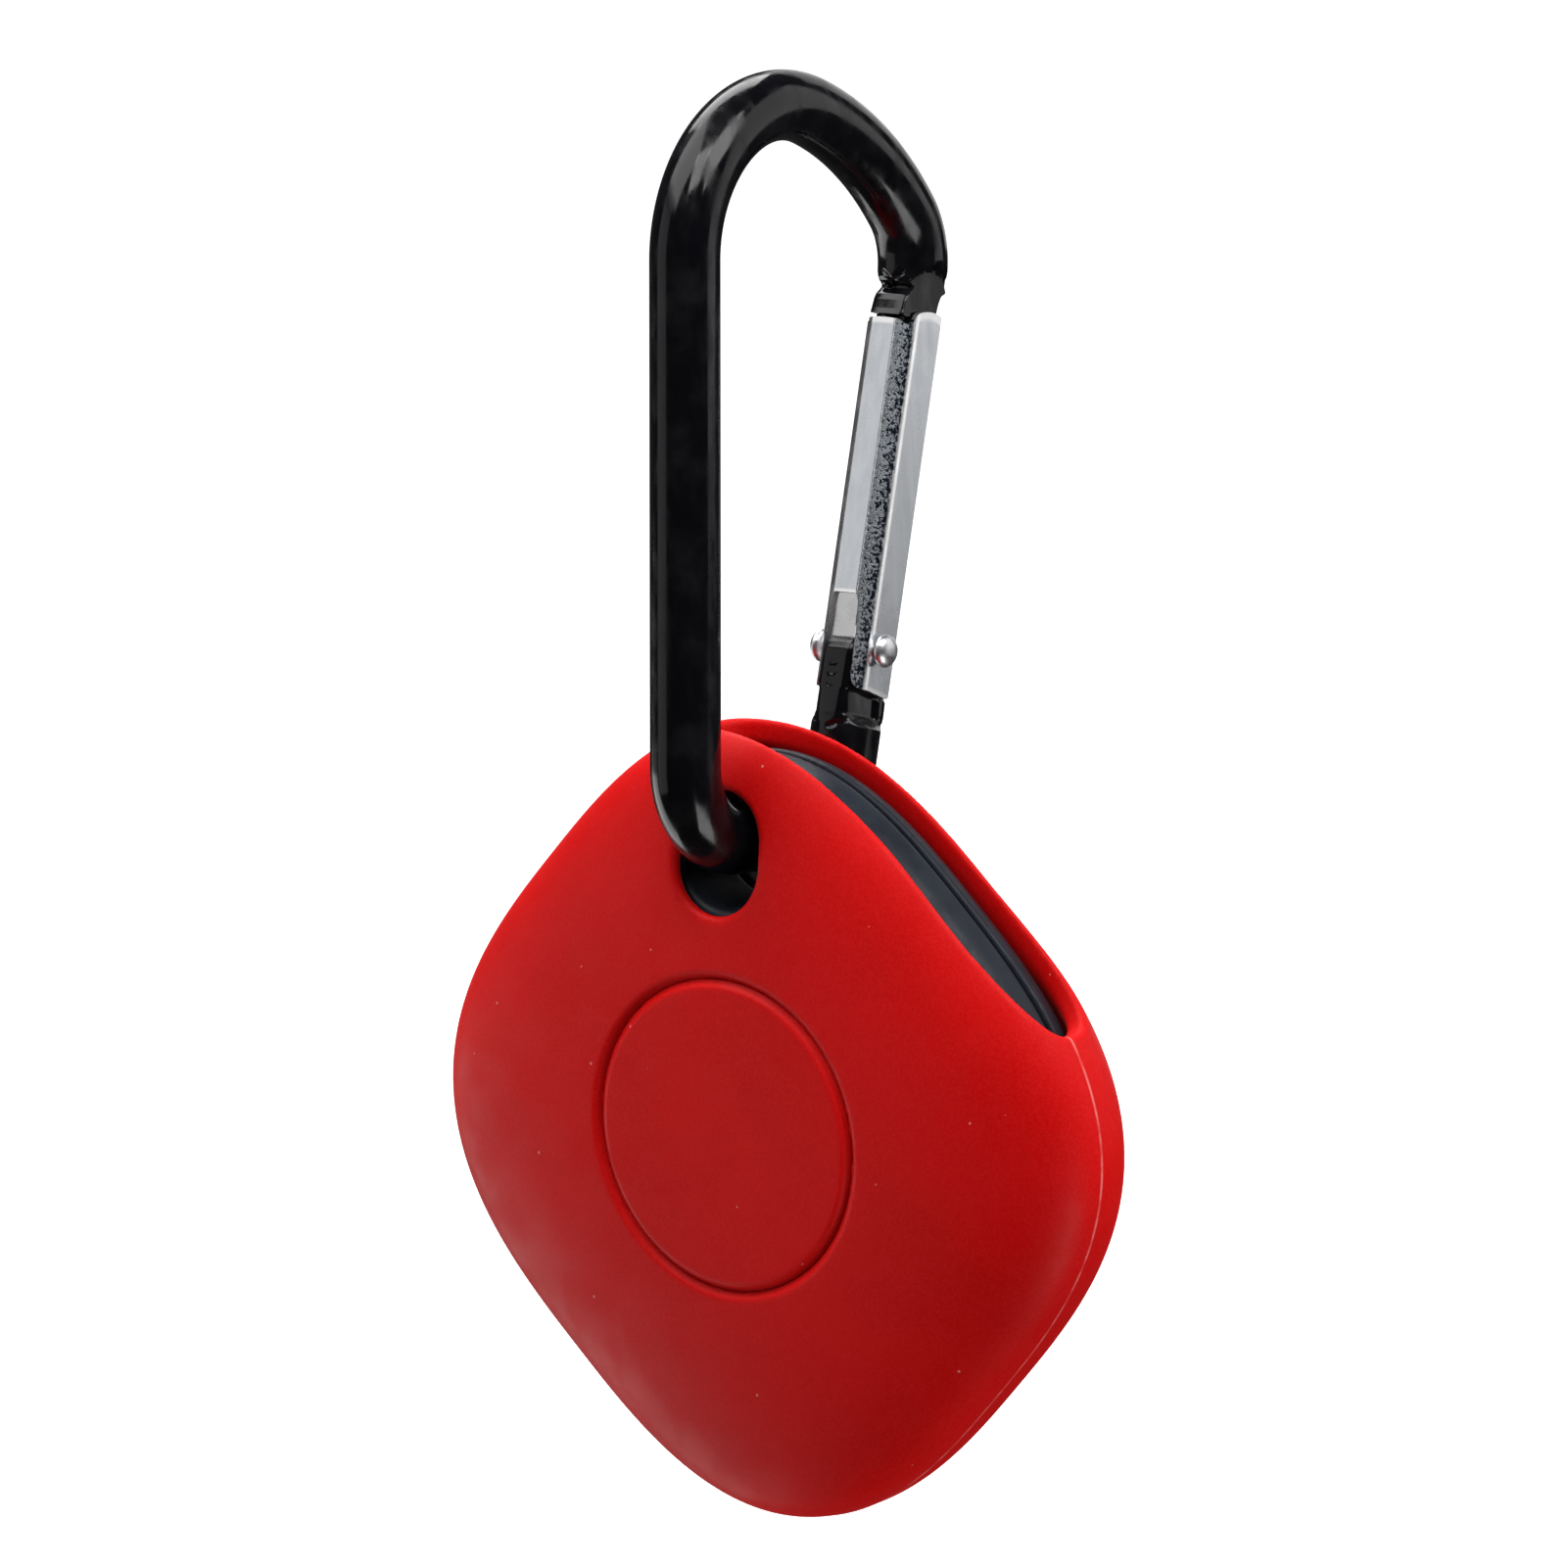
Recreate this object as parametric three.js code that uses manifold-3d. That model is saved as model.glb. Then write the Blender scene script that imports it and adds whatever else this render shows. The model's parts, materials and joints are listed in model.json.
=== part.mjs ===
// A square tracker tag in a soft silicone sleeve, hung by its corner from a small D-shaped carabiner.
// Millimetres, +Z up. The origin is the inside of the carabiner's top bend, where the whole thing hangs.
// The tag's own frame has its origin at the tag's centre, its front facing -Y and its hung corner up +Z.
import * as THREE from 'three';
import { mergeVertices } from 'three/addons/utils/BufferGeometryUtils.js';
import Module from 'manifold-3d';

const wasm = await Module();
wasm.setup();

// ---- driving dimensions --------------------------------------------------------------------------

// Rounded-square body: outline power, edge power, half widths across flats and half thicknesses.
const OUTLINE_POWER = 2.884;
const EDGE_POWER = 2.963;
const COVER_HALF = { width: 21.3, depth: 5.9 };
const COVER_CAVITY = { width: 19.85, depth: 5.1 };
const PAD_CAVITY_DEPTH = 5.25;
const TAG_HALF = { width: 19.55, depth: 4.9 };
const TAG_CAVITY = { width: 18.65, depth: 4.1 };
const BACK_FLAT_Y = 5.84;

// Carabiner rod and its centreline, in the carabiner's own frame: Y across, Z up the straight spine.
const ROD_RADIUS = 2.05;
const ROD_SIDES = 16;
const CARABINER_LEAN = THREE.MathUtils.degToRad(5);
const CARABINER_ORIGIN_Z = 16.5;
const SPINE_Y = -7.65;
const SPINE_TOP_Z = 34.16;
const BASE_Z = 0.3;
const FOOT_BEND_RADIUS = 4.6;
const HEEL_BEND_RADIUS = 5.0;
const TOP_BENDS = [
  { radius: 8.39, degrees: 110.9 },
  { radius: 20.0, degrees: 31.1 },
  { radius: 5.0, degrees: 51.0 },
];

// Gate: a folded sheet channel hinged on a rivet, in a frame with V outward and W along the gate.
const PIVOT = { y: 7.9, z: 10.4 };
const GATE_TILT = THREE.MathUtils.degToRad(13);
const GATE = {
  width: 3.5, inner: -1.58, outer: 1.62, sheet: 0.4, corner: 1.2, top: 19.95, webTop: 19.25, bottom: -2.7,
};
const GATE_NOTCH = { halfWidth: 1.15, shoulder: 2.2, topHalfWidth: 0.8, top: 3.1 };
const TANG = {
  thickness: 2.2, inner: -1.65, outer: 0.85, top: 0.8, corner: 0.9, shoulder: -3.0, root: -6.0,
};
const ROD_FOOT = { v: 0.31, w: -4.6 };
const NOSE = { thickness: 2.4, bottom: 19.5, top: 23.2, tongueBottom: 16.6 };
const RIVET = { shank: 0.4, bore: 0.5, head: 1.05, headHeight: 1.05, clearance: 0.1 };
const SPRING = { radius: 0.25, foot: 1.35, top: 9.5 };

// Cover openings: the hole the carabiner passes through, the slot the tag is pushed in by, the pad groove.
const COVER_HOLE = { radius: 3.0, low: 15.9, high: 17.1 };
const SLOT = { from: 17.4, to: 98, halfHeight: 3.2, innerRadius: 10, outerRadius: 32, endPower: 2.8 };
const PAD_RADIUS = 9.1;
const PAD_OPENING = 9.4;

// Tracker: loop hole, seam between the shells, button.
const LOOP = { z: 16.5, hole: 3.4, wall: 4.2, solidAbove: 18.5 };
const SEAM_Y = 1.0;
const SEAM_GAP = 0.25;
const KEY = { radius: 5.7, opening: 6.0, flange: 6.4, flangeFront: -3.95, back: -3.65 };

// Inside the tracker, from front to back.
const BUZZER = { z: -11.9, radius: 5.5, front: -2.85, sheet: 0.15, ceramic: 3.6 };
const BOARD = { width: 17.0, front: -2.0, back: -1.2, top: 11.8 };
const HOLDER = { radius: 11.5, bore: 10.35, front: -1.1, floor: -0.6, rim: 2.4, z: -1 };
const BATTERY = { radius: 10, cap: 8.7, front: 0.4, back: 3.6, capBack: 1.0 };
const SEAL = { outer: 18.2, inner: 17.6, y: 0.4 };
const FIT = 0.05;

// ---- where things are ----------------------------------------------------------------------------

// Carabiner frame (y, z) to the tag's frame.
function fromCarabiner(y, z) {
  const cos = Math.cos(CARABINER_LEAN);
  const sin = Math.sin(CARABINER_LEAN);
  return new THREE.Vector3(0, y * cos + z * sin, CARABINER_ORIGIN_Z - y * sin + z * cos);
}

const topBend = TOP_BENDS[0];
const hangPoint = fromCarabiner(SPINE_Y + topBend.radius, SPINE_TOP_Z);
hangPoint.z += topBend.radius - ROD_RADIUS;

// ---- shape helpers -------------------------------------------------------------------------------

function solid(geometry) {
  const bare = geometry.clone();
  bare.deleteAttribute('normal');
  bare.deleteAttribute('uv');
  const merged = mergeVertices(bare, 1e-4);
  return new wasm.Manifold(new wasm.Mesh({
    numProp: 3,
    vertProperties: new Float32Array(merged.attributes.position.array),
    triVerts: new Uint32Array(merged.index.array),
  }));
}

function geometryOf(manifold) {
  const mesh = manifold.getMesh();
  const geometry = new THREE.BufferGeometry();
  geometry.setAttribute('position', new THREE.BufferAttribute(mesh.vertProperties, 3));
  geometry.setIndex(new THREE.BufferAttribute(mesh.triVerts, 1));
  geometry.computeVertexNormals();
  return geometry;
}

function box(x0, x1, y0, y1, z0, z1) {
  const geometry = new THREE.BoxGeometry(x1 - x0, y1 - y0, z1 - z0);
  geometry.translate((x0 + x1) / 2, (y0 + y1) / 2, (z0 + z1) / 2);
  return geometry;
}

// A round disc standing on the Y axis's direction, from y0 to y1.
function disc(radius, y0, y1, z = 0, x = 0, sides = 40) {
  const geometry = new THREE.CylinderGeometry(radius, radius, y1 - y0, sides);
  geometry.translate(x, (y0 + y1) / 2, z);
  return geometry;
}

// A round bar along X.
function barX(radius, halfLength, sides = 24) {
  const geometry = new THREE.CylinderGeometry(radius, radius, 2 * halfLength, sides);
  geometry.rotateZ(Math.PI / 2);
  return geometry;
}

// Distance from the Y axis to the rounded square's outline at an angle from +X towards +Z.
function outlineRadius(halfWidth, angle) {
  const c = Math.abs(Math.cos(angle + Math.PI / 4)) ** OUTLINE_POWER;
  const s = Math.abs(Math.sin(angle + Math.PI / 4)) ** OUTLINE_POWER;
  return halfWidth * (c + s) ** (-1 / OUTLINE_POWER);
}

// A pebble with a rounded-square outline and full round edges, its corners up, down, left and right.
function pebble(half, around = 40, rings = 14) {
  const geometry = new THREE.SphereGeometry(1, around, rings);
  const position = geometry.attributes.position;
  for (let i = 0; i < position.count; i += 1) {
    const rise = THREE.MathUtils.clamp(position.getY(i), -1, 1);
    const spread = Math.sqrt(1 - rise * rise);
    const angle = Math.atan2(position.getZ(i), position.getX(i));
    const radius = outlineRadius(half.width, angle) * spread ** (2 / EDGE_POWER);
    const y = half.depth * Math.sign(rise) * Math.abs(rise) ** (2 / EDGE_POWER);
    position.setXYZ(i, radius * Math.cos(angle), y, radius * Math.sin(angle));
  }
  return geometry;
}

// A flat plate with the rounded-square outline, from y0 to y1.
function plate(halfWidth, y0, y1, points = 40) {
  const outline = new THREE.Shape();
  for (let i = 0; i < points; i += 1) {
    const angle = (2 * Math.PI * i) / points;
    const radius = outlineRadius(halfWidth, -angle);
    outline[i ? 'lineTo' : 'moveTo'](radius * Math.cos(angle), radius * Math.sin(angle));
  }
  const geometry = new THREE.ExtrudeGeometry(outline, { depth: y1 - y0, bevelEnabled: false });
  geometry.rotateX(-Math.PI / 2);
  geometry.translate(0, y0, 0);
  return geometry;
}

// A thin bent strip lying along X: its profile's points are (x, y), and its width runs along Z.
function strip(profile, thickness, width, x = 0, z = 0) {
  const outline = new THREE.Shape();
  profile.forEach(([px, py], i) => outline[i ? 'lineTo' : 'moveTo'](px, py));
  [...profile].reverse().forEach(([px, py]) => outline.lineTo(px, py + thickness));
  const geometry = new THREE.ExtrudeGeometry(outline, { depth: width, bevelEnabled: false });
  geometry.translate(x, 0, z - width / 2);
  return geometry;
}

// A wire of round section along a path.
function rod(path, radius, sides, steps) {
  const section = new THREE.Shape();
  section.absarc(0, 0, radius, 0, 2 * Math.PI, false);
  return new THREE.ExtrudeGeometry(section, { extrudePath: path, steps, curveSegments: sides / 2 });
}

// A path of straight stretches and bends in the carabiner's plane, walked from a start and a heading.
class BentPath extends THREE.Curve {
  constructor(start, heading, stretches) {
    super();
    this.start = start;
    this.heading = heading;
    this.stretches = stretches;
    this.total = stretches.reduce((sum, stretch) => sum + stretch.length, 0);
  }

  getPoint(t) {
    let left = t * this.total;
    let { y, z } = this.start;
    let heading = this.heading;
    for (const { length, turn } of this.stretches) {
      const run = Math.min(left, length);
      const half = (turn * run) / length / 2;
      const chord = half ? run * Math.sin(half) / half : run;
      y += chord * Math.cos(heading + half);
      z += chord * Math.sin(heading + half);
      heading += 2 * half;
      left -= run;
    }
    return fromCarabiner(y, z);
  }
}

const straight = (length) => ({ length, turn: 0 });
const bend = (radius, degrees) => {
  const turn = THREE.MathUtils.degToRad(degrees);
  return { length: radius * turn, turn: -turn };
};

function material(color, roughness, metalness = 0) {
  return new THREE.MeshStandardMaterial({ color, roughness, metalness });
}

function part(name, geometry, look) {
  const mesh = new THREE.Mesh(geometry, look);
  mesh.name = name;
  return mesh;
}

const RED_SILICONE = material(0xc01318, 0.6);
const SLATE_PLASTIC = material(0x3b4048, 0.45);
const BLACK_PAINT = material(0x0b0b0d, 0.15);
const BRIGHT_METAL = material(0xc9cbcf, 0.3, 1);
const STEEL = material(0xa9abae, 0.25, 1);
const BRASS = material(0xb8923f, 0.35, 1);
const BOARD_GREEN = material(0x1d5a35, 0.5);
const DARK_PLASTIC = material(0x17181b, 0.5);
const WHITE_CERAMIC = material(0xe4e2dc, 0.5);
const GREY_RUBBER = material(0x55585c, 0.8);

// ---- carabiner -----------------------------------------------------------------------------------

const gateFrame = new THREE.Matrix4()
  .makeRotationX(-(CARABINER_LEAN + GATE_TILT))
  .setPosition(fromCarabiner(PIVOT.y, PIVOT.z));

// The rod's path in stretches, from below the tang round the foot, up the spine and down to the nose.
function rodPath() {
  const sin = Math.sin(GATE_TILT);
  const cos = Math.cos(GATE_TILT);
  const turnDegrees = 90 - THREE.MathUtils.radToDeg(GATE_TILT);
  const start = {
    y: PIVOT.y + ROD_FOOT.w * sin + ROD_FOOT.v * cos,
    z: PIVOT.z + ROD_FOOT.w * cos - ROD_FOOT.v * sin,
  };
  const toBase = (start.z - BASE_Z) / cos;
  const heelTangent = HEEL_BEND_RADIUS * Math.tan(THREE.MathUtils.degToRad(turnDegrees / 2));
  const heelEndY = start.y - toBase * sin - heelTangent;
  return new BentPath(start, -Math.PI / 2 - GATE_TILT, [
    straight(toBase - heelTangent),
    bend(HEEL_BEND_RADIUS, turnDegrees),
    straight(heelEndY - (SPINE_Y + FOOT_BEND_RADIUS)),
    bend(FOOT_BEND_RADIUS, 90),
    straight(SPINE_TOP_Z - BASE_Z - FOOT_BEND_RADIUS),
    ...TOP_BENDS.map(({ radius, degrees }) => bend(radius, degrees)),
  ]);
}

// A flat piece with a side outline in the gate's V and W, its thickness centred on the carabiner's plane.
function pressed(outline, thickness) {
  const geometry = new THREE.ExtrudeGeometry(outline, {
    depth: thickness,
    bevelEnabled: false,
    curveSegments: 6,
  });
  geometry.rotateY(Math.PI / 2);
  geometry.rotateX(Math.PI / 2);
  geometry.translate(-thickness / 2, 0, 0);
  return solid(geometry);
}

// The flattened tang inside the gate's foot, round at its inner top corner and drilled for the rivet.
function tang() {
  const { inner, outer, top, corner, shoulder, root } = TANG;
  const rodOuter = ROD_FOOT.v + ROD_RADIUS - 0.05;
  const side = new THREE.Shape();
  side.moveTo(rodOuter, root);
  side.lineTo(rodOuter, shoulder);
  side.lineTo(outer, shoulder);
  side.lineTo(outer, top - corner / 2);
  side.lineTo(outer - corner / 2, top);
  side.lineTo(inner + corner, top);
  side.absarc(inner + corner, top - corner, corner, Math.PI / 2, Math.PI, false);
  side.lineTo(inner, root);
  return pressed(side, TANG.thickness).subtract(solid(barX(RIVET.bore, TANG.thickness)));
}

// The pressed nose: a stepped neck above the gate and the tongue that sits inside its channel.
function nose() {
  const { bottom, top, tongueBottom, thickness } = NOSE;
  const tongueInner = GATE.inner + GATE.sheet + 0.45;
  const tongueOuter = GATE.outer - 0.15;
  const side = new THREE.Shape();
  side.moveTo(2.45, top);
  side.lineTo(-1.2, top);
  side.lineTo(-1.2, bottom + 2.1);
  side.lineTo(-0.82, bottom + 1.75);
  side.lineTo(-1.12, bottom + 0.75);
  side.lineTo(-1.55, bottom);
  side.lineTo(tongueInner, bottom);
  side.lineTo(tongueInner, tongueBottom);
  side.lineTo(tongueOuter, tongueBottom);
  side.lineTo(tongueOuter, bottom);
  side.lineTo(1.8, bottom);
  side.lineTo(2.05, bottom + 1.5);
  side.lineTo(2.55, bottom + 1.85);
  return pressed(side, thickness);
}

// What the press takes off the rod's two sides above the gate.
function nosePress() {
  const half = NOSE.thickness / 2;
  const around = solid(box(-5, 5, -4, 4, NOSE.bottom, NOSE.top));
  return around.subtract(solid(box(-half, half, -5, 5, NOSE.bottom - 1, NOSE.top + 1)));
}

function carabinerFrame() {
  const placed = (piece) => piece.transform([...gateFrame.elements]);
  const body = solid(rod(rodPath(), ROD_RADIUS, ROD_SIDES, 64))
    .subtract(placed(nosePress()))
    .add(placed(nose()))
    .add(placed(tang()));
  return part('carabiner_frame', geometryOf(body), BLACK_PAINT);
}

// A folded channel, closed towards the spine and open outwards, notched at its foot for the tang.
function gate() {
  const half = GATE.width / 2;
  const mouth = GATE.outer;
  const inner = half - GATE.sheet;
  const bendRadius = GATE.corner - GATE.sheet;
  const bendX = half - GATE.corner;
  const bendY = GATE.inner + GATE.corner;
  const section = new THREE.Shape();
  section.moveTo(half, mouth);
  section.lineTo(inner, mouth);
  section.lineTo(inner, bendY);
  section.absarc(bendX, bendY, bendRadius, 0, -Math.PI / 2, true);
  section.absarc(-bendX, bendY, bendRadius, -Math.PI / 2, -Math.PI, true);
  section.lineTo(-inner, mouth);
  section.lineTo(-half, mouth);
  section.lineTo(-half, bendY);
  section.absarc(-bendX, bendY, GATE.corner, Math.PI, 1.5 * Math.PI, false);
  section.absarc(bendX, bendY, GATE.corner, 1.5 * Math.PI, 2 * Math.PI, false);
  const channel = new THREE.ExtrudeGeometry(section, {
    depth: GATE.top - GATE.bottom,
    bevelEnabled: false,
    curveSegments: 4,
  });
  channel.translate(0, 0, GATE.bottom);
  const notch = new THREE.Shape();
  notch.moveTo(GATE_NOTCH.halfWidth, GATE.bottom - 1);
  notch.lineTo(GATE_NOTCH.halfWidth, GATE_NOTCH.shoulder);
  notch.lineTo(GATE_NOTCH.topHalfWidth, GATE_NOTCH.top);
  notch.lineTo(-GATE_NOTCH.topHalfWidth, GATE_NOTCH.top);
  notch.lineTo(-GATE_NOTCH.halfWidth, GATE_NOTCH.shoulder);
  notch.lineTo(-GATE_NOTCH.halfWidth, GATE.bottom - 1);
  const cutter = new THREE.ExtrudeGeometry(notch, { depth: 2, bevelEnabled: false });
  cutter.rotateX(Math.PI / 2);
  cutter.translate(0, bendY, 0);
  const webEnd = box(-inner, inner, GATE.inner - 1, bendY, GATE.webTop, GATE.top + 1);
  const body = solid(channel)
    .subtract(solid(cutter))
    .subtract(solid(webEnd))
    .subtract(solid(barX(RIVET.bore, GATE.width)));
  return part('carabiner_gate', geometryOf(body), BRIGHT_METAL);
}

function rivet() {
  const seat = GATE.width / 2 + RIVET.clearance;
  const tip = seat + RIVET.headHeight;
  const head = [
    [RIVET.head, seat],
    [RIVET.head, seat + 0.35 * RIVET.headHeight],
    [0.82 * RIVET.head, seat + 0.7 * RIVET.headHeight],
    [0.47 * RIVET.head, seat + 0.93 * RIVET.headHeight],
    [0, tip],
  ];
  const lower = [...head].reverse().map(([r, y]) => [r, -y]);
  const profile = [...lower, [RIVET.shank, -seat], [RIVET.shank, seat], ...head];
  const geometry = new THREE.LatheGeometry(profile.map(([r, y]) => new THREE.Vector2(r, y)), 16);
  geometry.rotateZ(Math.PI / 2);
  return part('gate_rivet', geometry, STEEL);
}

// The gate's return spring: a bent wire from the tang's top up inside the channel to its closed back.
function gateSpring() {
  const press = GATE.inner + GATE.sheet + SPRING.radius + 0.1;
  const path = new THREE.CatmullRomCurve3([
    new THREE.Vector3(0, 0.2, SPRING.foot),
    new THREE.Vector3(0, 0.2, SPRING.foot + 1.2),
    new THREE.Vector3(0, -0.2, SPRING.foot + 3.5),
    new THREE.Vector3(0, press, SPRING.top - 0.8),
    new THREE.Vector3(0, press, SPRING.top),
  ]);
  return part('gate_spring', rod(path, SPRING.radius, 8, 14), STEEL);
}

function carabiner() {
  const group = new THREE.Group();
  const hinged = new THREE.Group();
  hinged.applyMatrix4(gateFrame);
  hinged.add(gate(), rivet(), gateSpring());
  group.add(carabinerFrame(), hinged);
  return group;
}

// ---- sleeve --------------------------------------------------------------------------------------

// The block bent round the rim that opens the sleeve's slot, its ends drawn to rounded points.
function slotCutter() {
  const geometry = new THREE.BoxGeometry(1, 2, 1, 1, 8, 32);
  const position = geometry.attributes.position;
  const middle = THREE.MathUtils.degToRad((SLOT.from + SLOT.to) / 2);
  const reach = THREE.MathUtils.degToRad((SLOT.to - SLOT.from) / 2);
  for (let i = 0; i < position.count; i += 1) {
    const along = Math.sin(Math.PI * position.getZ(i));
    const open = Math.max(1 - Math.abs(along) ** SLOT.endPower, 0) ** (1 / SLOT.endPower);
    const angle = middle + reach * along;
    const radius = position.getX(i) > 0 ? SLOT.outerRadius : SLOT.innerRadius;
    const y = position.getY(i) * Math.max(SLOT.halfHeight * open, FIT);
    position.setXYZ(i, radius * Math.cos(angle), y, radius * Math.sin(angle));
  }
  return solid(geometry);
}

// A hole through both walls for the carabiner, a little taller than it is wide.
function coverHole() {
  const { radius, low, high } = COVER_HOLE;
  return solid(disc(radius, -8, 8, low, 0, 32))
    .add(solid(disc(radius, -8, 8, high, 0, 32)))
    .add(solid(box(-radius, radius, -8, 8, low, high)));
}

const coverOutside = solid(pebble(COVER_HALF, 48, 18));

function coverSleeve() {
  const flatBack = box(-30, 30, BACK_FLAT_Y, 10, -30, 30);
  const body = coverOutside
    .subtract(solid(flatBack))
    .subtract(solid(pebble(COVER_CAVITY)))
    .subtract(slotCutter())
    .subtract(coverHole())
    .subtract(solid(disc(PAD_OPENING, -10, 0)));
  return part('cover_sleeve', geometryOf(body), RED_SILICONE);
}

function coverPad() {
  const inside = pebble({ width: COVER_CAVITY.width, depth: PAD_CAVITY_DEPTH });
  const body = coverOutside.subtract(solid(inside)).intersect(solid(disc(PAD_RADIUS, -10, 0)));
  return part('cover_button_pad', geometryOf(body), RED_SILICONE);
}

// ---- tracker shells, seal and button -------------------------------------------------------------

const tagOutside = solid(pebble(TAG_HALF));

// The case's hollow walls with a tube round the loop hole, filled solid in the tip above it.
function shellWalls() {
  const tip = solid(box(-30, 30, -6, 6, LOOP.solidAbove, 30));
  const tube = tagOutside.intersect(solid(disc(LOOP.wall, -6, 6, LOOP.z)).add(tip));
  return tagOutside
    .subtract(solid(pebble(TAG_CAVITY)))
    .add(tube)
    .subtract(solid(disc(LOOP.hole, -8, 8, LOOP.z)));
}

function frontShell(walls) {
  const body = walls
    .intersect(solid(box(-30, 30, -8, SEAM_Y - SEAM_GAP / 2, -30, 30)))
    .subtract(solid(disc(KEY.opening, -8, 0)));
  return part('tag_front_shell', geometryOf(body), SLATE_PLASTIC);
}

function rearShell(walls) {
  const body = walls.intersect(solid(box(-30, 30, SEAM_Y + SEAM_GAP / 2, 8, -30, 30)));
  return part('tag_rear_shell', geometryOf(body), SLATE_PLASTIC);
}

// A ring just inside the shells' seam, open where the loop tube fills the tip.
function shellSeal() {
  const y0 = SEAM_Y - SEAL.y;
  const y1 = SEAM_Y + SEAL.y;
  const body = solid(plate(SEAL.outer, y0, y1))
    .subtract(solid(plate(SEAL.inner, y0 - 1, y1 + 1)))
    .subtract(solid(disc(LOOP.wall + FIT, y0 - 1, y1 + 1, LOOP.z)))
    .subtract(solid(box(-30, 30, y0 - 1, y1 + 1, LOOP.solidAbove - FIT, 30)));
  return part('shell_seal', geometryOf(body), GREY_RUBBER);
}

function buttonKey() {
  const body = tagOutside
    .intersect(solid(disc(KEY.radius, -8, KEY.back)))
    .add(solid(disc(KEY.flange, KEY.flangeFront, KEY.back)));
  return part('button_key', geometryOf(body), SLATE_PLASTIC);
}

// ---- board and what stands on it -----------------------------------------------------------------

const boardTop = BOARD.front - FIT;

function mainBoard() {
  const outline = solid(plate(BOARD.width, BOARD.front, BOARD.back));
  const body = outline.subtract(solid(box(-30, 30, -5, 5, BOARD.top, 30)));
  return part('main_board', geometryOf(body), BOARD_GREEN);
}

function switchBody() {
  const body = solid(box(-2.25, 2.25, boardTop - 1.0, boardTop, -2.25, 2.25))
    .subtract(solid(disc(1.1, -5, boardTop - 0.35)));
  return part('tact_switch_body', geometryOf(body), DARK_PLASTIC);
}

function switchPlunger() {
  const top = KEY.back + 2 * FIT;
  return part('tact_switch_plunger', disc(0.8, top, boardTop - 0.7, 0, 0, 24), WHITE_CERAMIC);
}

function chip(name, x, z, width, height, thick, look) {
  const half = width / 2;
  return part(name, box(x - half, x + half, boardTop - thick, boardTop, z - height / 2, z + height / 2), look);
}

// A pressed cover over the radio's power parts, open towards the board.
function shieldCan() {
  const outside = box(-12.5, -6.5, boardTop - 1.2, boardTop, -2.5, 4.5);
  const inside = box(-12.3, -6.7, boardTop - 1.0, boardTop + 1, -2.3, 4.3);
  return part('shield_can', geometryOf(solid(outside).subtract(solid(inside))), STEEL);
}

// A folded metal strip standing along the board's lower left edge.
function antenna() {
  const geometry = box(-6, 6, boardTop - 1.1, boardTop, 13.6, 13.9);
  geometry.rotateY(Math.PI + Math.PI / 4);
  return part('antenna', geometry, BRASS);
}

function buzzer() {
  const { z, radius, front, sheet, ceramic } = BUZZER;
  const ceramicFront = front + sheet + FIT;
  const ceramicBack = ceramicFront + sheet;
  const foot = boardTop - 0.1;
  const archInner = [[-1.6, foot], [-0.5, ceramicBack + FIT], [0.5, ceramicBack + FIT], [1.6, foot]];
  const rimTop = front + sheet + FIT;
  const archOuter = [[-1.2, foot], [-0.4, rimTop], [0.4, rimTop], [1.2, foot]];
  return [
    part('buzzer_disc', disc(radius, front, front + sheet, z), BRASS),
    part('buzzer_ceramic', disc(ceramic, ceramicFront, ceramicBack, z), WHITE_CERAMIC),
    part('buzzer_spring_inner', strip(archInner, 0.1, 1.0, 0, z), STEEL),
    part('buzzer_spring_outer', strip(archOuter, 0.1, 0.8, 0, z - 4.6), STEEL),
  ];
}

// ---- battery and its holder ----------------------------------------------------------------------

function batteryHolder() {
  const { radius, bore, front, floor, rim, z } = HOLDER;
  const body = solid(disc(radius, front, rim, z, 0, 48))
    .subtract(solid(disc(bore, floor, rim + 1, z, 0, 48)))
    .subtract(solid(box(bore - 1, radius + 1, floor, rim + 1, z - 2.5, z + 2.5)));
  return part('battery_holder', geometryOf(body), DARK_PLASTIC);
}

function batteryContacts() {
  const floor = HOLDER.floor + FIT;
  const reach = BATTERY.front - FIT - 0.15;
  const arch = [[-4.5, floor], [-3, floor], [-0.7, reach], [0.7, reach], [3, floor], [4.5, floor]];
  const wall = solid(box(10.1, 10.25, floor, 2.2, -3, 1));
  const foot = solid(box(10.1, 11.3, floor, floor + 0.15, -3, 1));
  return [
    part('battery_contact_negative', strip(arch, 0.15, 3, 0, HOLDER.z), STEEL),
    part('battery_contact_positive', geometryOf(wall.add(foot)), STEEL),
  ];
}

// A coin cell: the can is one pole, the smaller cap the other, with an insulating ring between them.
function battery() {
  const { radius, cap, front, back, capBack } = BATTERY;
  const z = HOLDER.z;
  const well = cap + 0.6;
  const can = solid(disc(radius, front + 0.3, back, z, 0, 48))
    .subtract(solid(disc(well, front - 1, capBack + 2 * FIT, z, 0, 48)));
  const ring = solid(disc(well - FIT, front + 0.15, capBack, z, 0, 48))
    .subtract(solid(disc(cap + FIT, front - 1, capBack + 1, z, 0, 48)));
  return [
    part('battery_can', geometryOf(can), STEEL),
    part('battery_gasket', geometryOf(ring), DARK_PLASTIC),
    part('battery_cap', disc(cap, front, capBack, z, 0, 48), STEEL),
  ];
}

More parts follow.
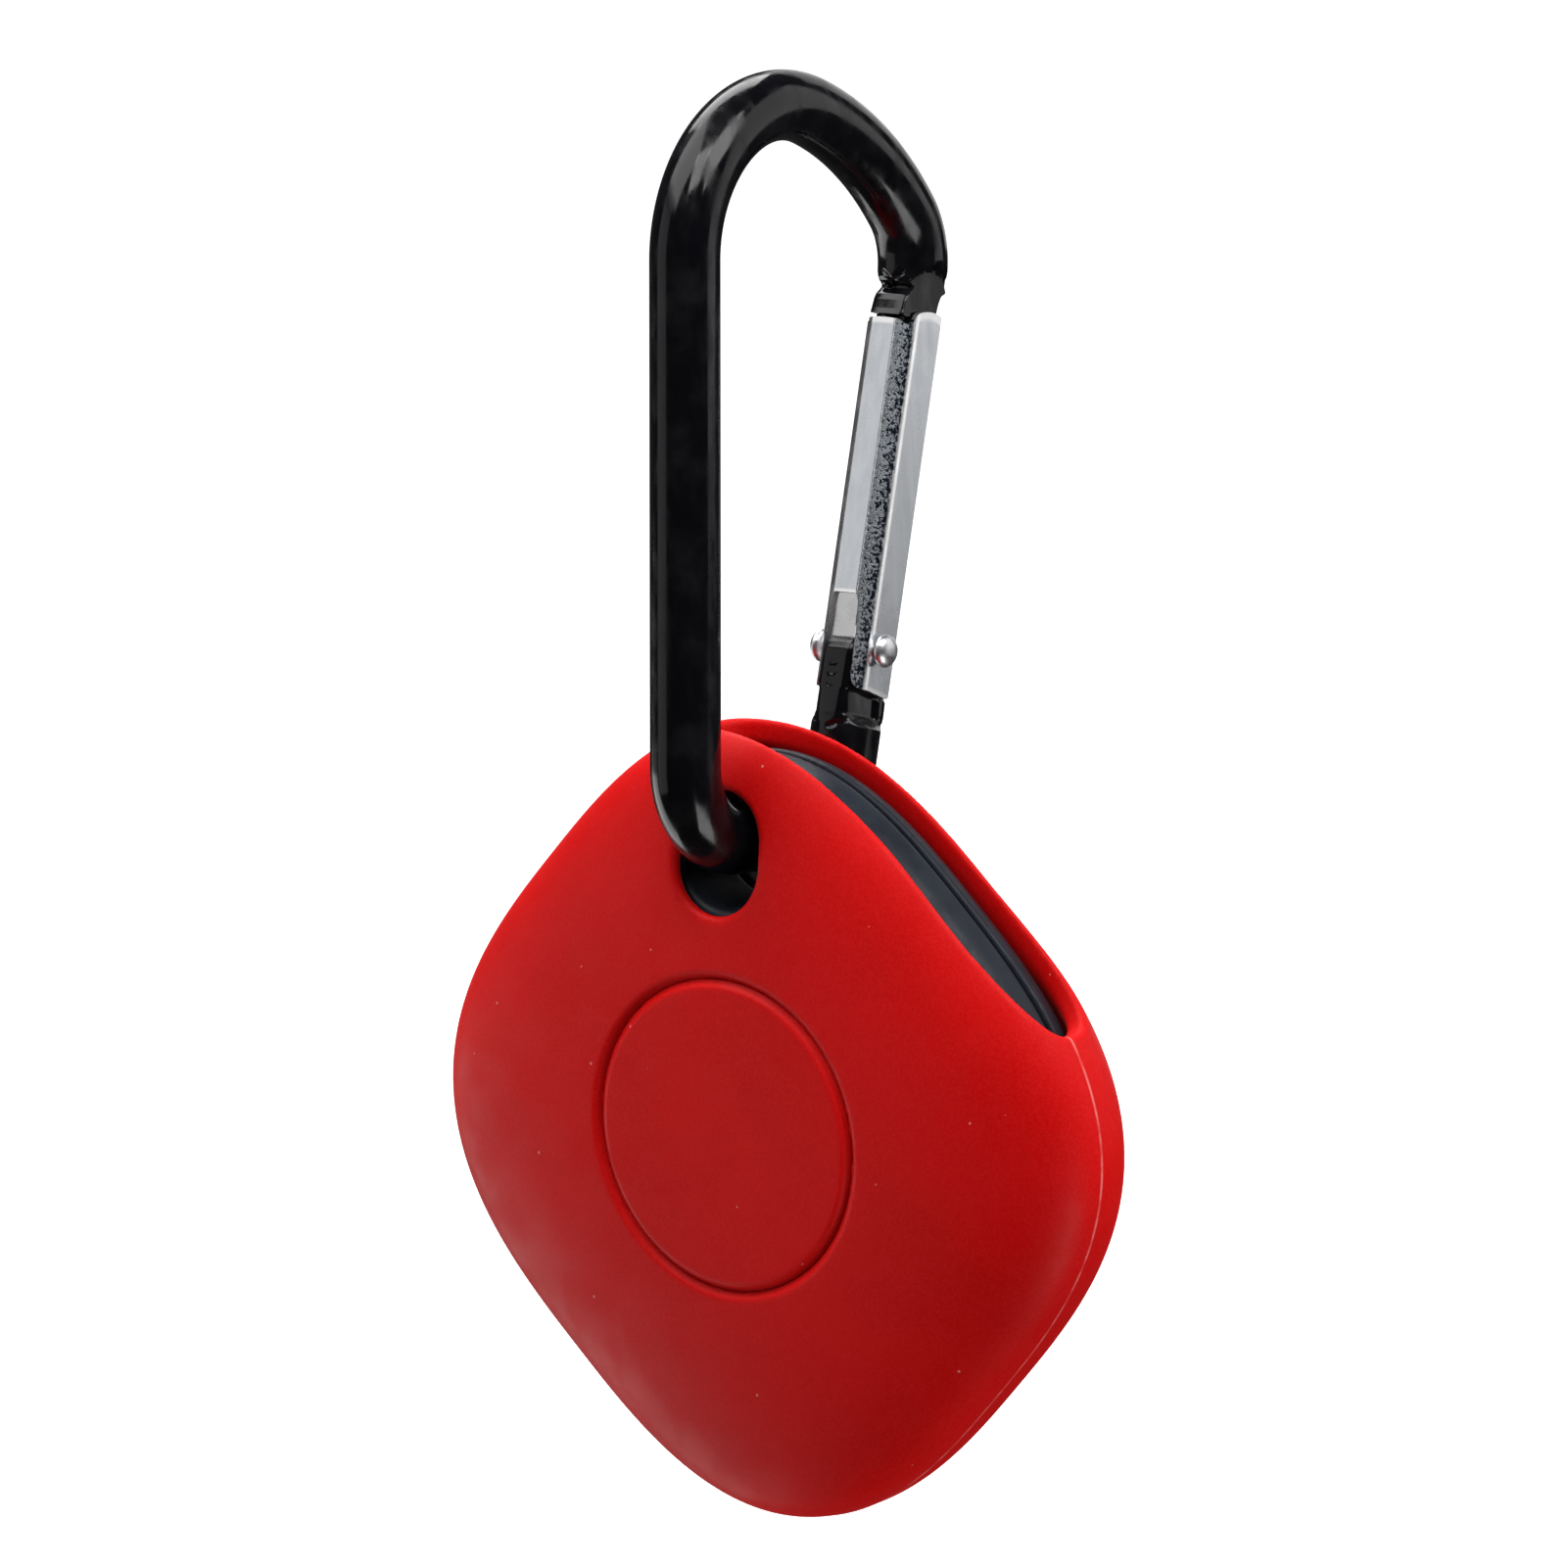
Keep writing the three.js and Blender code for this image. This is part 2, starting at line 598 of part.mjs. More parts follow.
function tag() {
  const group = new THREE.Group();
  const walls = shellWalls();
  group.add(coverSleeve(), coverPad(), frontShell(walls), rearShell(walls), shellSeal());
  group.add(buttonKey(), switchPlunger(), switchBody(), mainBoard(), shieldCan(), antenna());
  group.add(chip('bluetooth_chip', 8.5, 2.5, 5, 5, 0.8, DARK_PLASTIC));
  group.add(chip('crystal', 8.5, -3, 3.2, 2.5, 0.7, STEEL));
  group.add(...buzzer(), batteryHolder(), ...batteryContacts(), ...battery());
  return group;
}

const tracker = new THREE.Group();
tracker.add(carabiner(), tag());
tracker.position.copy(hangPoint).negate();

export default tracker;
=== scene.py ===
"""Looks for a square tracker tag in a soft sleeve, hung from a small carabiner."""

import json
import math

import bmesh
import bpy
import numpy as np
from mathutils import Matrix, Vector


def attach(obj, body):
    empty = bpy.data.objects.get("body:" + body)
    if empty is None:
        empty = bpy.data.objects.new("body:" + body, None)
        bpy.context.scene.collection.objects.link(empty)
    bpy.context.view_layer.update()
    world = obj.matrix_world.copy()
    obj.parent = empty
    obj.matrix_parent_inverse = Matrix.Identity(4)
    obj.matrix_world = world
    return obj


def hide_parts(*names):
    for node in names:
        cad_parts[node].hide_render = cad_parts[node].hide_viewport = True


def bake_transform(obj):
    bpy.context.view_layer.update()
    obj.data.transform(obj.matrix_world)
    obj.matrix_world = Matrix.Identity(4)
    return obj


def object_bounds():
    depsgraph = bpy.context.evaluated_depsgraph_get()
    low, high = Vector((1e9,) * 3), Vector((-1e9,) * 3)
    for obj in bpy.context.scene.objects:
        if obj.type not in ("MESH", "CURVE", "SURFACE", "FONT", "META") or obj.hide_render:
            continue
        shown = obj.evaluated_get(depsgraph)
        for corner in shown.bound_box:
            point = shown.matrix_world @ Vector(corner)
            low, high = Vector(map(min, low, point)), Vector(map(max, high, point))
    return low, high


# ---- dimensions in millimetres, in the tag's own frame: centre of the tag, front -Y, hung corner up +Z ----

MM = 0.001
OUTLINE_POWER = 2.884
EDGE_POWER = 2.963
COVER_HALF = (21.3, 5.9)
COVER_CAVITY = (19.85, 5.1)
PAD_CAVITY = (19.85, 5.25)
TAG_HALF = (19.55, 4.9)
TAG_CAVITY = (18.65, 4.1)
BACK_FLAT_Y = 5.84

ROD_RADIUS = 2.05
LEAN = math.radians(5)
CARABINER_Z = 16.5
SPINE_Y = -7.65
SPINE_TOP_Z = 34.16
BASE_Z = 0.3
FOOT_BEND = 4.6
HEEL_BEND = 5.0
TOP_BENDS = ((8.39, 110.9), (20.0, 31.1), (5.0, 51.0))
PIVOT = (7.9, 10.4)
TILT = math.radians(13)
ROD_FOOT = (0.31, -4.6)

HOLE_RADIUS, HOLE_LOW, HOLE_HIGH = 3.0, 15.9, 17.1
SLOT_FROM, SLOT_TO, SLOT_HALF, SLOT_POWER = 17.4, 98.0, 3.2, 2.8
SLOT_INNER_RADIUS, SLOT_LEAST_RADIUS = 10.0, 1.0
SLOT_NARROWING = 0.45
GROOVE_RADIUS = 9.245
LOOP_Z, LOOP_HOLE, LOOP_WALL, LOOP_SOLID_Z = 16.5, 3.4, 4.2, 18.5
SEAM_Y, SEAM_GAP = 0.4, 0.34
KEY_OPENING = 6.0

TINY = 1e-6
FAR = 9.0  # a distance, in mm, that keeps a tool off the surface
LEAST_SLOPE = 0.01


def from_carabiner(y, z):
    """A point of the carabiner's own plane, in the tag's frame."""
    c, s = math.cos(LEAN), math.sin(LEAN)
    return y * c + z * s, CARABINER_Z - y * s + z * c


HANG_Y, HANG_Z = from_carabiner(SPINE_Y + TOP_BENDS[0][0], SPINE_TOP_Z)
HANG = np.array([0.0, HANG_Y, HANG_Z + TOP_BENDS[0][0] - ROD_RADIUS])


def to_part(points):
    """Tag-frame millimetres to the part's metres."""
    return (np.asarray(points, float) - HANG) * MM


def clamp01(t):
    return np.clip(t, 0.0, 1.0)


def smoothstep(t):
    t = clamp01(t)
    return t * t * (3 - 2 * t)


# ---- mesh helpers ----------------------------------------------------------------------------------


def make_object(name, points, faces, look, body, slot_name, sharp_degrees=None):
    """A smooth-shaded mesh object from tag-frame points, riding on a body."""
    mesh = bpy.data.meshes.new(name)
    mesh.from_pydata(to_part(points).tolist(), [], [tuple(f) for f in faces])
    mesh.validate()
    mesh.polygons.foreach_set("use_smooth", [True] * len(mesh.polygons))
    if sharp_degrees:
        mesh.set_sharp_from_angle(angle=math.radians(sharp_degrees))
    mesh.materials.append(look)
    obj = bpy.data.objects.new(name, mesh)
    bpy.context.scene.collection.objects.link(obj)
    if body:
        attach(obj, body)
    return obj


def net_cells(values):
    """Cells of a value grid that the surface crosses, with each one's crossing point in cell units."""
    inside = values < 0
    shape = tuple(n - 1 for n in values.shape)
    total = np.zeros(shape + (3,))
    count = np.zeros(shape)
    for axis in range(3):
        others = [a for a in range(3) if a != axis]
        low = [slice(None)] * 3
        high = [slice(None)] * 3
        low[axis], high[axis] = slice(None, -1), slice(1, None)
        v0, v1 = values[tuple(low)], values[tuple(high)]
        crossed = inside[tuple(low)] != inside[tuple(high)]
        t = np.where(crossed, v0 / np.where(crossed, v0 - v1, 1.0), 0.0)
        for da in (0, 1):
            for db in (0, 1):
                part = [slice(None)] * 3
                for other, d in zip(others, (da, db)):
                    part[other] = slice(d, values.shape[other] - 1 + d)
                hit = crossed[tuple(part)]
                total[..., axis] += np.where(hit, t[tuple(part)], 0)
                total[..., others[0]] += np.where(hit, da, 0)
                total[..., others[1]] += np.where(hit, db, 0)
                count += hit
    return inside, total, count


def net_faces(inside, index):
    """Quads joining the four cells round each grid edge that the surface crosses."""
    quads = []
    for axis in range(3):
        a, b = [(1, 2), (2, 0), (0, 1)][axis]
        low = [slice(None)] * 3
        high = [slice(None)] * 3
        low[axis], high[axis] = slice(None, -1), slice(1, None)
        crossed = inside[tuple(low)] != inside[tuple(high)]
        where = np.argwhere(crossed)
        keep = (where[:, a] > 0) & (where[:, b] > 0)
        keep &= (where[:, a] < index.shape[a]) & (where[:, b] < index.shape[b])
        where = where[keep]
        out = inside[tuple(low)][tuple(where.T)]
        corners = []
        for da, db in ((-1, -1), (0, -1), (0, 0), (-1, 0)):
            cell = where.copy()
            cell[:, a] += da
            cell[:, b] += db
            corners.append(index[tuple(cell.T)])
        quad = np.stack(corners, 1)
        quad[~out] = quad[~out][:, ::-1]
        quads.append(quad)
    return np.concatenate(quads)


def surface(field, low, high, step):
    """Points and quads of the surface where field is zero, inside where it is below zero."""
    axes = [np.arange(lo, hi + step, step) for lo, hi in zip(low, high)]
    grid = np.meshgrid(*axes, indexing="ij", sparse=True)
    values = field(*np.broadcast_arrays(*grid))
    inside, total, count = net_cells(values)
    cells = np.argwhere(count > 0)
    index = np.full(count.shape, -1)
    index[tuple(cells.T)] = np.arange(len(cells))
    crossing = total[tuple(cells.T)] / count[tuple(cells.T)][:, None]
    points = (cells + crossing) * step + np.array([a[0] for a in axes])
    return settle(field, points), net_faces(inside, index)


SETTLE_ROUNDS, SETTLE_REACH, SETTLE_STEP = 3, 0.01, 0.08
SETTLE_LEAST_SLOPE = 0.05


def settle(field, points):
    """Moves points onto the field's surface along its slope."""
    reach = SETTLE_REACH
    for _ in range(SETTLE_ROUNDS):
        value = field(*points.T)
        slope = np.stack(
            [
                field(*(points + reach * unit).T) - field(*(points - reach * unit).T)
                for unit in np.eye(3)
            ],
            1,
        ) / (2 * reach)
        size = np.maximum((slope**2).sum(1), SETTLE_LEAST_SLOPE)
        move = slope * (value / size)[:, None]
        length = np.maximum(np.linalg.norm(move, axis=1), TINY * MM)
        points = points - move * np.minimum(1, SETTLE_STEP / length)[:, None]
    return points


# ---- distance fields -------------------------------------------------------------------------------


def smooth_max(a, b, reach):
    """The larger of two fields, with the edge between them rounded over about reach."""
    near = np.maximum(reach - np.abs(a - b), 0) / reach
    return np.maximum(a, b) + near**2 * reach / 4


def cut(field, tool, reach):
    return smooth_max(field, -tool, reach)


def pebble(x, y, z, half):
    """Distance from a pebble with a rounded-square outline standing on one corner."""
    width, depth = half
    a = np.abs(x + z) / math.sqrt(2) / width
    c = np.abs(x - z) / math.sqrt(2) / width
    d = np.abs(y) / depth
    ring = np.maximum((a**OUTLINE_POWER + c**OUTLINE_POWER) ** (1 / OUTLINE_POWER), TINY)
    norm = np.maximum((ring**EDGE_POWER + d**EDGE_POWER) ** (1 / EDGE_POWER), TINY)
    in_plane = (ring / norm) ** (EDGE_POWER - 1)
    ring_slope = np.hypot((a / ring) ** (OUTLINE_POWER - 1), (c / ring) ** (OUTLINE_POWER - 1))
    slope = np.hypot(in_plane * ring_slope / width, (d / norm) ** (EDGE_POWER - 1) / depth)
    return (norm - 1) / np.maximum(slope, LEAST_SLOPE)


def slot_field(x, y, z):
    """Distance from the long opening bent round the upper right rim."""
    radius = np.maximum(np.hypot(x, z), SLOT_LEAST_RADIUS)
    middle = math.radians((SLOT_FROM + SLOT_TO) / 2)
    reach = math.radians((SLOT_TO - SLOT_FROM) / 2)
    turn = np.arctan2(z, x) - middle
    turn = (turn + math.pi) % (2 * math.pi) - math.pi
    along = np.abs(turn) / reach
    narrowing = np.where(y < 0, SLOT_NARROWING * smoothstep(1.0 + turn / reach), 0.0)
    across = np.abs(y) / (SLOT_HALF - narrowing)
    norm = np.maximum((along**SLOT_POWER + across**SLOT_POWER) ** (1 / SLOT_POWER), TINY)
    slope = np.hypot(
        (along / norm) ** (SLOT_POWER - 1) / (reach * radius),
        (across / norm) ** (SLOT_POWER - 1) / SLOT_HALF,
    )
    return np.maximum((norm - 1) / slope, SLOT_INNER_RADIUS - radius)


def hole_field(x, z):
    """Distance from the upright oval hole that the rod passes through."""
    return np.hypot(x, z - np.clip(z, HOLE_LOW, HOLE_HIGH)) - HOLE_RADIUS


# ---- sleeve and pad --------------------------------------------------------------------------------

RIDGE_Y, RIDGE_HEIGHT, RIDGE_WIDTH = -0.5, 0.035, 0.1
GROOVE_DEPTH = 0.32
PAD_GAP = 0.006
LIP = 0.5
BACK_ROUND, INSIDE_ROUND, GROOVE_ROUND = 0.4, 0.15, 0.25
VOXEL, QUICK_VOXEL, PAD_VOXEL_SHARE = 0.2, 0.4, 0.75
# Half sizes, and the pad's back, of the boxes that the surfaces are looked for in.
SLEEVE_REACH, SLEEVE_DEPTH = 24.2, 6.4
PAD_REACH, PAD_BACK = 9.8, -4.2
CASE_REACH, CASE_DEPTH, CASE_MARGIN = 22.2, 5.3, 0.5


def cover_outside(x, y, z):
    """The sleeve's outer surface, with the moulding line round its rim and the flat at its back."""
    outside = pebble(x, y, z, COVER_HALF) + RIDGE_HEIGHT
    outside = outside - RIDGE_HEIGHT * np.exp(-(((y - RIDGE_Y) / RIDGE_WIDTH) ** 2))
    return smooth_max(outside, y - BACK_FLAT_Y, BACK_ROUND)


def groove(x, y, z, outside):
    """A round-bottomed channel that follows the front surface round the pad."""
    beside = np.hypot(x, z) - GROOVE_RADIUS
    return np.where(y < 0, np.hypot(beside, outside), FAR) - GROOVE_DEPTH


def sleeve_field(x, y, z):
    """The sleeve without its pad: hollow, with the slot, the hole and the groove cut out."""
    outside = cover_outside(x, y, z)
    body = smooth_max(outside, -pebble(x, y, z, COVER_CAVITY), INSIDE_ROUND)
    body = cut(body, slot_field(x, y, z), LIP)
    body = cut(body, hole_field(x, z), LIP)
    body = cut(body, groove(x, y, z, outside), GROOVE_ROUND)
    opening = np.where(y < 0, np.hypot(x, z) - GROOVE_RADIUS - PAD_GAP, FAR)
    return np.maximum(body, -opening)


def pad_field(x, y, z):
    """The round pad inside the groove, which the button is pressed through."""
    outside = cover_outside(x, y, z)
    body = np.maximum(outside, -pebble(x, y, z, PAD_CAVITY))
    body = cut(body, groove(x, y, z, outside), GROOVE_ROUND)
    return np.maximum(np.maximum(body, np.hypot(x, z) - GROOVE_RADIUS + PAD_GAP), y)


# ---- tracker shells --------------------------------------------------------------------------------


HOLLOW_ROUND, LOOP_ROUND, SEAM_ROUND, KEY_ROUND = 0.3, 0.6, 0.25, 0.2


def shell_walls(x, y, z):
    """The tracker's hollow case, with a tube round its loop hole and a solid tip."""
    outside = pebble(x, y, z, TAG_HALF)
    tube = np.minimum(np.hypot(x, z - LOOP_Z) - LOOP_WALL, LOOP_SOLID_Z - z)
    hollow = smooth_max(pebble(x, y, z, TAG_CAVITY), -tube, HOLLOW_ROUND)
    body = np.maximum(outside, -hollow)
    return cut(body, np.hypot(x, z - LOOP_Z) - LOOP_HOLE, LOOP_ROUND)


def front_shell_field(x, y, z):
    body = smooth_max(shell_walls(x, y, z), y - (SEAM_Y - SEAM_GAP / 2), SEAM_ROUND)
    opening = np.where(y < 0, np.hypot(x, z) - KEY_OPENING, FAR)
    return cut(body, opening, KEY_ROUND)


def rear_shell_field(x, y, z):
    return smooth_max(shell_walls(x, y, z), SEAM_Y + SEAM_GAP / 2 - y, SEAM_ROUND)


# ---- carabiner rod ---------------------------------------------------------------------------------

RING_SIDES = 96
RING_STEP = 0.14
TANG_STEP, NOSE_STEP = 0.12, 0.06
# The pressed sides of the nose: half thickness left, how deep, and the arched edge that they end in.
PRESS_HALF, PRESS_DEPTH, PRESS_ROUND = 1.2, 1.0, 0.12
PRESS_TOP, PRESS_SAG, PRESS_MIDDLE, PRESS_FADE = 22.72, 0.24, 0.8, 0.5
PRESS_FROM, PRESS_TO, PRESS_SIDE_Y = 16, 24, 5
# The block below the gate's foot: how much wider, from where outward, and from where down to where.
SHOULDER_FLARE, SHOULDER_V, SHOULDER_RAMP = 0.26, 0.9, 0.5
SHOULDER_TOP, SHOULDER_FULL, SHOULDER_END = -2.38, -2.7, -4.4
SHOULDER_STEP, SHOULDER_FADE, SHOULDER_SHARES = 0.1, 0.6, (0.4, 0.6)
STAMP_FROM_V, STAMP_TO_V = -3, 0.2
# Each crease: its two ends as (x, along the gate), half width and depth.
STAMP_MARKS = (
    ((-0.60, 20.95), (0.75, 22.05), 0.17, 0.17),
    ((-0.60, 22.00), (0.05, 21.55), 0.14, 0.12),
    ((-0.25, -1.10), (0.20, -1.02), 0.13, 0.05),
    ((-0.30, -1.70), (0.15, -1.62), 0.13, 0.06),
    ((-0.25, -2.35), (0.10, -2.28), 0.12, 0.05),
    ((0.25, -4.75), (1.20, -4.35), 0.20, 0.10),
)
# Each ring of the nose and tang: place along the gate, inner edge, outer edge, half thickness, squareness.
NOSE_RINGS = (
    (21.70, -1.53, 2.57, 2.05, 2.0),
    (21.50, -1.34, 2.60, 2.05, 2.2),
    (21.38, -1.05, 2.58, 2.05, 2.5),
    (21.25, -0.84, 2.40, 2.05, 2.8),
    (21.12, -0.82, 2.16, 2.00, 3.0),
    (20.95, -0.98, 2.07, 1.95, 3.2),
    (20.70, -1.24, 1.99, 1.90, 3.4),
    (20.40, -1.36, 1.93, 1.85, 3.6),
    (19.80, -1.46, 1.84, 1.80, 3.8),
    (19.62, -1.52, 1.82, 1.70, 4.0),
    (19.52, -1.55, 1.80, 1.60, 4.0),
    (19.48, -1.45, 1.70, 1.40, 4.0),
    (19.46, -0.75, 1.48, 1.20, 5.0),
    (19.35, -0.72, 1.46, 1.20, 6.0),
    (16.75, -0.72, 1.46, 1.20, 6.0),
    (16.65, -0.68, 1.42, 1.16, 6.0),
    (16.60, -0.58, 1.32, 1.05, 6.0),
)
TANG_RINGS = (
    (0.62, -0.70, 0.35, 0.95, 7.0),
    (0.59, -0.95, 0.50, 1.06, 7.0),
    (0.45, -1.20, 0.66, 1.10, 7.0),
    (0.20, -1.42, 0.80, 1.10, 7.0),
    (-0.15, -1.60, 0.85, 1.10, 7.0),
    (-2.38, -1.66, 0.85, 1.10, 7.0),
    (-2.45, -1.66, 0.95, 1.10, 7.0),
    (-2.48, -1.66, 1.60, 1.10, 7.0),
    (-2.51, -1.66, 2.14, 1.10, 7.0),
    (-2.63, -1.66, 2.26, 1.10, 6.0),
    (-3.90, -1.68, 2.30, 1.20, 4.5),
    (-4.20, -1.72, 2.32, 1.45, 3.2),
    (-4.45, -1.74, 2.35, 1.82, 2.4),
    (-4.60, -1.74, 2.36, 2.05, 2.0),
)

GATE_ANGLE = LEAN + TILT
PIVOT_Y, PIVOT_Z = from_carabiner(*PIVOT)
OUT_Y, OUT_Z = math.cos(GATE_ANGLE), -math.sin(GATE_ANGLE)


def from_gate(v, w):
    """A point given outward and along the gate from its pivot, in the tag's frame."""
    return PIVOT_Y + v * OUT_Y - w * OUT_Z, PIVOT_Z + v * OUT_Z + w * OUT_Y


def to_gate(y, z):
    """A point of the tag's frame, as outward and along the gate from its pivot."""
    y, z = y - PIVOT_Y, z - PIVOT_Z
    return y * OUT_Y + z * OUT_Z, -y * OUT_Z + z * OUT_Y


def rod_stretches():
    """The rod's straight stretches and bends as (length, turn), and where it starts."""
    s, c = math.sin(TILT), math.cos(TILT)
    start_y = PIVOT[0] + ROD_FOOT[1] * s + ROD_FOOT[0] * c
    start_z = PIVOT[1] + ROD_FOOT[1] * c - ROD_FOOT[0] * s
    heel = math.pi / 2 - TILT
    tangent = HEEL_BEND * math.tan(heel / 2)
    drop = (start_z - BASE_Z) / c
    base_end = start_y - drop * s - tangent
    stretches = [
        (drop - tangent, 0.0),
        (HEEL_BEND * heel, -heel),
        (base_end - (SPINE_Y + FOOT_BEND), 0.0),
        (FOOT_BEND * math.pi / 2, -math.pi / 2),
        (SPINE_TOP_Z - BASE_Z - FOOT_BEND, 0.0),
    ]
    stretches += [(r * math.radians(d), -math.radians(d)) for r, d in TOP_BENDS]
    return stretches, (start_y, start_z)


def rod_line():
    """Points and headings along the rod's centreline, in the tag's frame."""
    stretches, (y, z) = rod_stretches()
    heading = -math.pi / 2 - TILT
    line = []
    for length, turn in stretches:
        steps = max(2, round(length / RING_STEP))
        for i in range(steps):
            run = i / steps
            half = turn * run / 2
            chord = length * run * (math.sin(half) / half if half else 1.0)
            at_y = y + chord * math.cos(heading + half)
            at_z = z + chord * math.sin(heading + half)
            line.append((*from_carabiner(at_y, at_z), heading + 2 * half - LEAN))
        half = turn / 2
        chord = length * (math.sin(half) / half if half else 1.0)
        y += chord * math.cos(heading + half)
        z += chord * math.sin(heading + half)
        heading += turn
    return line


def spread_rings(rings, step):
    """Rings between the given ones, close enough together to look smooth."""
    made = []
    for a, b in zip(rings, rings[1:]):
        count = max(1, math.ceil(abs(a[0] - b[0]) / step))
        made += [
            tuple(p + (q - p) * i / count for p, q in zip(a, b)) for i in range(count)
        ]
    return made + [rings[-1]]


def ring_points(y, z, across, low, high, half, power):
    """One closed ring of the rod: across is the in-plane direction that low and high run along."""
    points = []
    for i in range(RING_SIDES):
        angle = 2 * math.pi * i / RING_SIDES
        c, s = math.cos(angle), math.sin(angle)
        r = (abs(c) ** power + abs(s) ** power) ** (-1 / power)
        v = (low + high) / 2 + (high - low) / 2 * s * r
        points.append((half * c * r, y + across[0] * v, z + across[1] * v))
    return points


def press_sides(points):
    """Flattens the rod's two sides above the gate, under an arched upper edge."""
    v, w = to_gate(points[:, 1], points[:, 2])
    arch = PRESS_TOP - PRESS_SAG * (v - PRESS_MIDDLE) ** 2
    depth = smoothstep((arch - w) / PRESS_FADE + 0.5)
    near_nose = (w > PRESS_FROM) & (w < PRESS_TO) & (points[:, 1] > PRESS_SIDE_Y)
    limit = np.where(near_nose, PRESS_HALF + (1 - depth) * PRESS_DEPTH, FAR)
    x = np.abs(points[:, 0])
    pressed = -smooth_max(-x, -limit, PRESS_ROUND)
    points[:, 0] = np.sign(points[:, 0]) * np.where(x > limit - PRESS_ROUND, pressed, x)
    outer_side = smoothstep((v - SHOULDER_V) / SHOULDER_RAMP)
    points[:, 0] *= 1 + SHOULDER_FLARE * outer_side * shoulder_mask(w)
    return stamp_marks(points, v, w)


def shoulder_mask(w):
    """How far a place belongs to the block below the gate's foot."""
    least, rest = SHOULDER_SHARES
    share = least + rest * smoothstep((SHOULDER_FULL - w) / SHOULDER_STEP)
    below_top = smoothstep((SHOULDER_TOP - w) / SHOULDER_STEP)
    return share * below_top * smoothstep((w - SHOULDER_END) / SHOULDER_FADE)


def stamp_marks(points, v, w):
    """The press's creases: a V above the nose's inner edge and short nicks down the tang's inner face."""
    depth = np.zeros(len(points))
    for (x0, w0), (x1, w1), width, deep in STAMP_MARKS:
        run = np.array([x1 - x0, w1 - w0])
        at = np.stack([points[:, 0] - x0, w - w0], 1)
        along = clamp01(at @ run / (run @ run))
        beside = np.hypot(*(at - along[:, None] * run).T)
        depth = np.maximum(depth, deep * clamp01(1 - (beside / width) ** 2))
    depth = np.where((v > STAMP_FROM_V) & (v < STAMP_TO_V), depth, 0.0)
    points[:, 1] += OUT_Y * depth
    points[:, 2] += OUT_Z * depth
    return points


def carabiner_rod():
    """Rings from the tang's top, round the whole rod and down to the tip of the nose."""
    gate_axis = (OUT_Y, OUT_Z)
    rings = [
        ring_points(*from_gate(0, w), gate_axis, low, high, half, power)
        for w, low, high, half, power in spread_rings(TANG_RINGS, TANG_STEP)[:-1]
    ]
    for y, z, heading in rod_line():
        across = (-math.sin(heading), math.cos(heading))
        rings.append(ring_points(y, z, across, -ROD_RADIUS, ROD_RADIUS, ROD_RADIUS, 2.0))
    rings += [
        ring_points(*from_gate(0, w), gate_axis, low, high, half, power)
        for w, low, high, half, power in spread_rings(NOSE_RINGS, NOSE_STEP)
    ]
    points = press_sides(np.array(rings).reshape(-1, 3))
    return points, tube_faces(len(rings), RING_SIDES)


def tube_faces(rings, sides):
    """Quads between rings of points, with a cap at each end."""
    faces = []
    for i in range(rings - 1):
        for j in range(sides):
            k = (j + 1) % sides
            faces.append((i * sides + j, i * sides + k, (i + 1) * sides + k, (i + 1) * sides + j))
    faces.append(tuple(range(sides))[::-1])
    last = (rings - 1) * sides
    faces.append(tuple(range(last, last + sides)))
    return faces


def outward(obj):
    """Turns every face outwards."""
    edit = bmesh.new()
    edit.from_mesh(obj.data)
    bmesh.ops.recalc_face_normals(edit, faces=edit.faces)
    edit.to_mesh(obj.data)
    edit.free()


# ---- gate ------------------------------------------------------------------------------------------

GATE_HALF = 1.75
GATE_BACK = -1.58
GATE_MOUTH = 1.62
GATE_SHEET = 0.4
GATE_CORNER = 1.2
FLANK_TOP, WEB_TOP, CORNER_TOP = 19.98, 19.3, 19.05
FLANK_FOOT, MOUTH_FOOT = -2.42, -2.72
NOTCH_HALF, NOTCH_SHOULDER, NOTCH_TOP_HALF, NOTCH_TOP = 1.15, 2.2, 0.8, 3.1
NOTCH_EDGE = 0.01
FLANK_COLUMNS, BEND_COLUMNS, WEB_COLUMNS, GATE_ROWS = 14, 18, 18, 40
FOOT_ROUND, MOUTH_ROUND, MOUTH_REACH = 0.75, 0.12, 0.3
FLANK_SAG, FLANK_MIDDLE, WEB_SAG = 0.16, 1.1, 0.12
# The top edge round the bend, in degrees from the flank: where the rise ends, and the dip.
RISE_DEGREES, DIP_DEGREES, DIP_WIDTH, DIP_SHARE = 32, 44, 13, 1.3
# The left corner's share of the painted corner highlights and painted shade.
LEFT_BEND_SHARE = 0.4
# Rows at the sheet's foot and top ends that get a painted highlight.
HIGHLIGHT_FOOT_ROWS, HIGHLIGHT_TOP_ROWS = 3, 4
SHEET_BEVEL, BEVEL_SEGMENTS, BEVEL_DEGREES = 0.13, 3, 40


def gate_columns():
    """Round the folded section: (x, v) outside, inward direction, and how far round the bend."""
    bend_v = GATE_BACK + GATE_CORNER
    bend_x = GATE_HALF - GATE_CORNER
    columns = []
    for v in np.linspace(GATE_MOUTH, bend_v, FLANK_COLUMNS, endpoint=False):
        columns.append((-GATE_HALF, v, 1.0, 0.0, 0.0))
    for t in np.linspace(0, 1, BEND_COLUMNS, endpoint=False):
        a = t * math.pi / 2
        c, s = math.cos(a), math.sin(a)
        columns.append((-bend_x - GATE_CORNER * c, bend_v - GATE_CORNER * s, c, s, t))
    web = set(np.linspace(-bend_x, bend_x, WEB_COLUMNS))
    web |= {side * (NOTCH_TOP_HALF + d) for side in (-1, 1) for d in (-NOTCH_EDGE, NOTCH_EDGE)}
    for x in sorted(web):
        columns.append((x, GATE_BACK, 0.0, 1.0, 0.0))
    mirrored = [(-x, v, -nx, nv, corner) for x, v, nx, nv, corner in columns if x < -bend_x]
    return columns + mirrored[::-1]


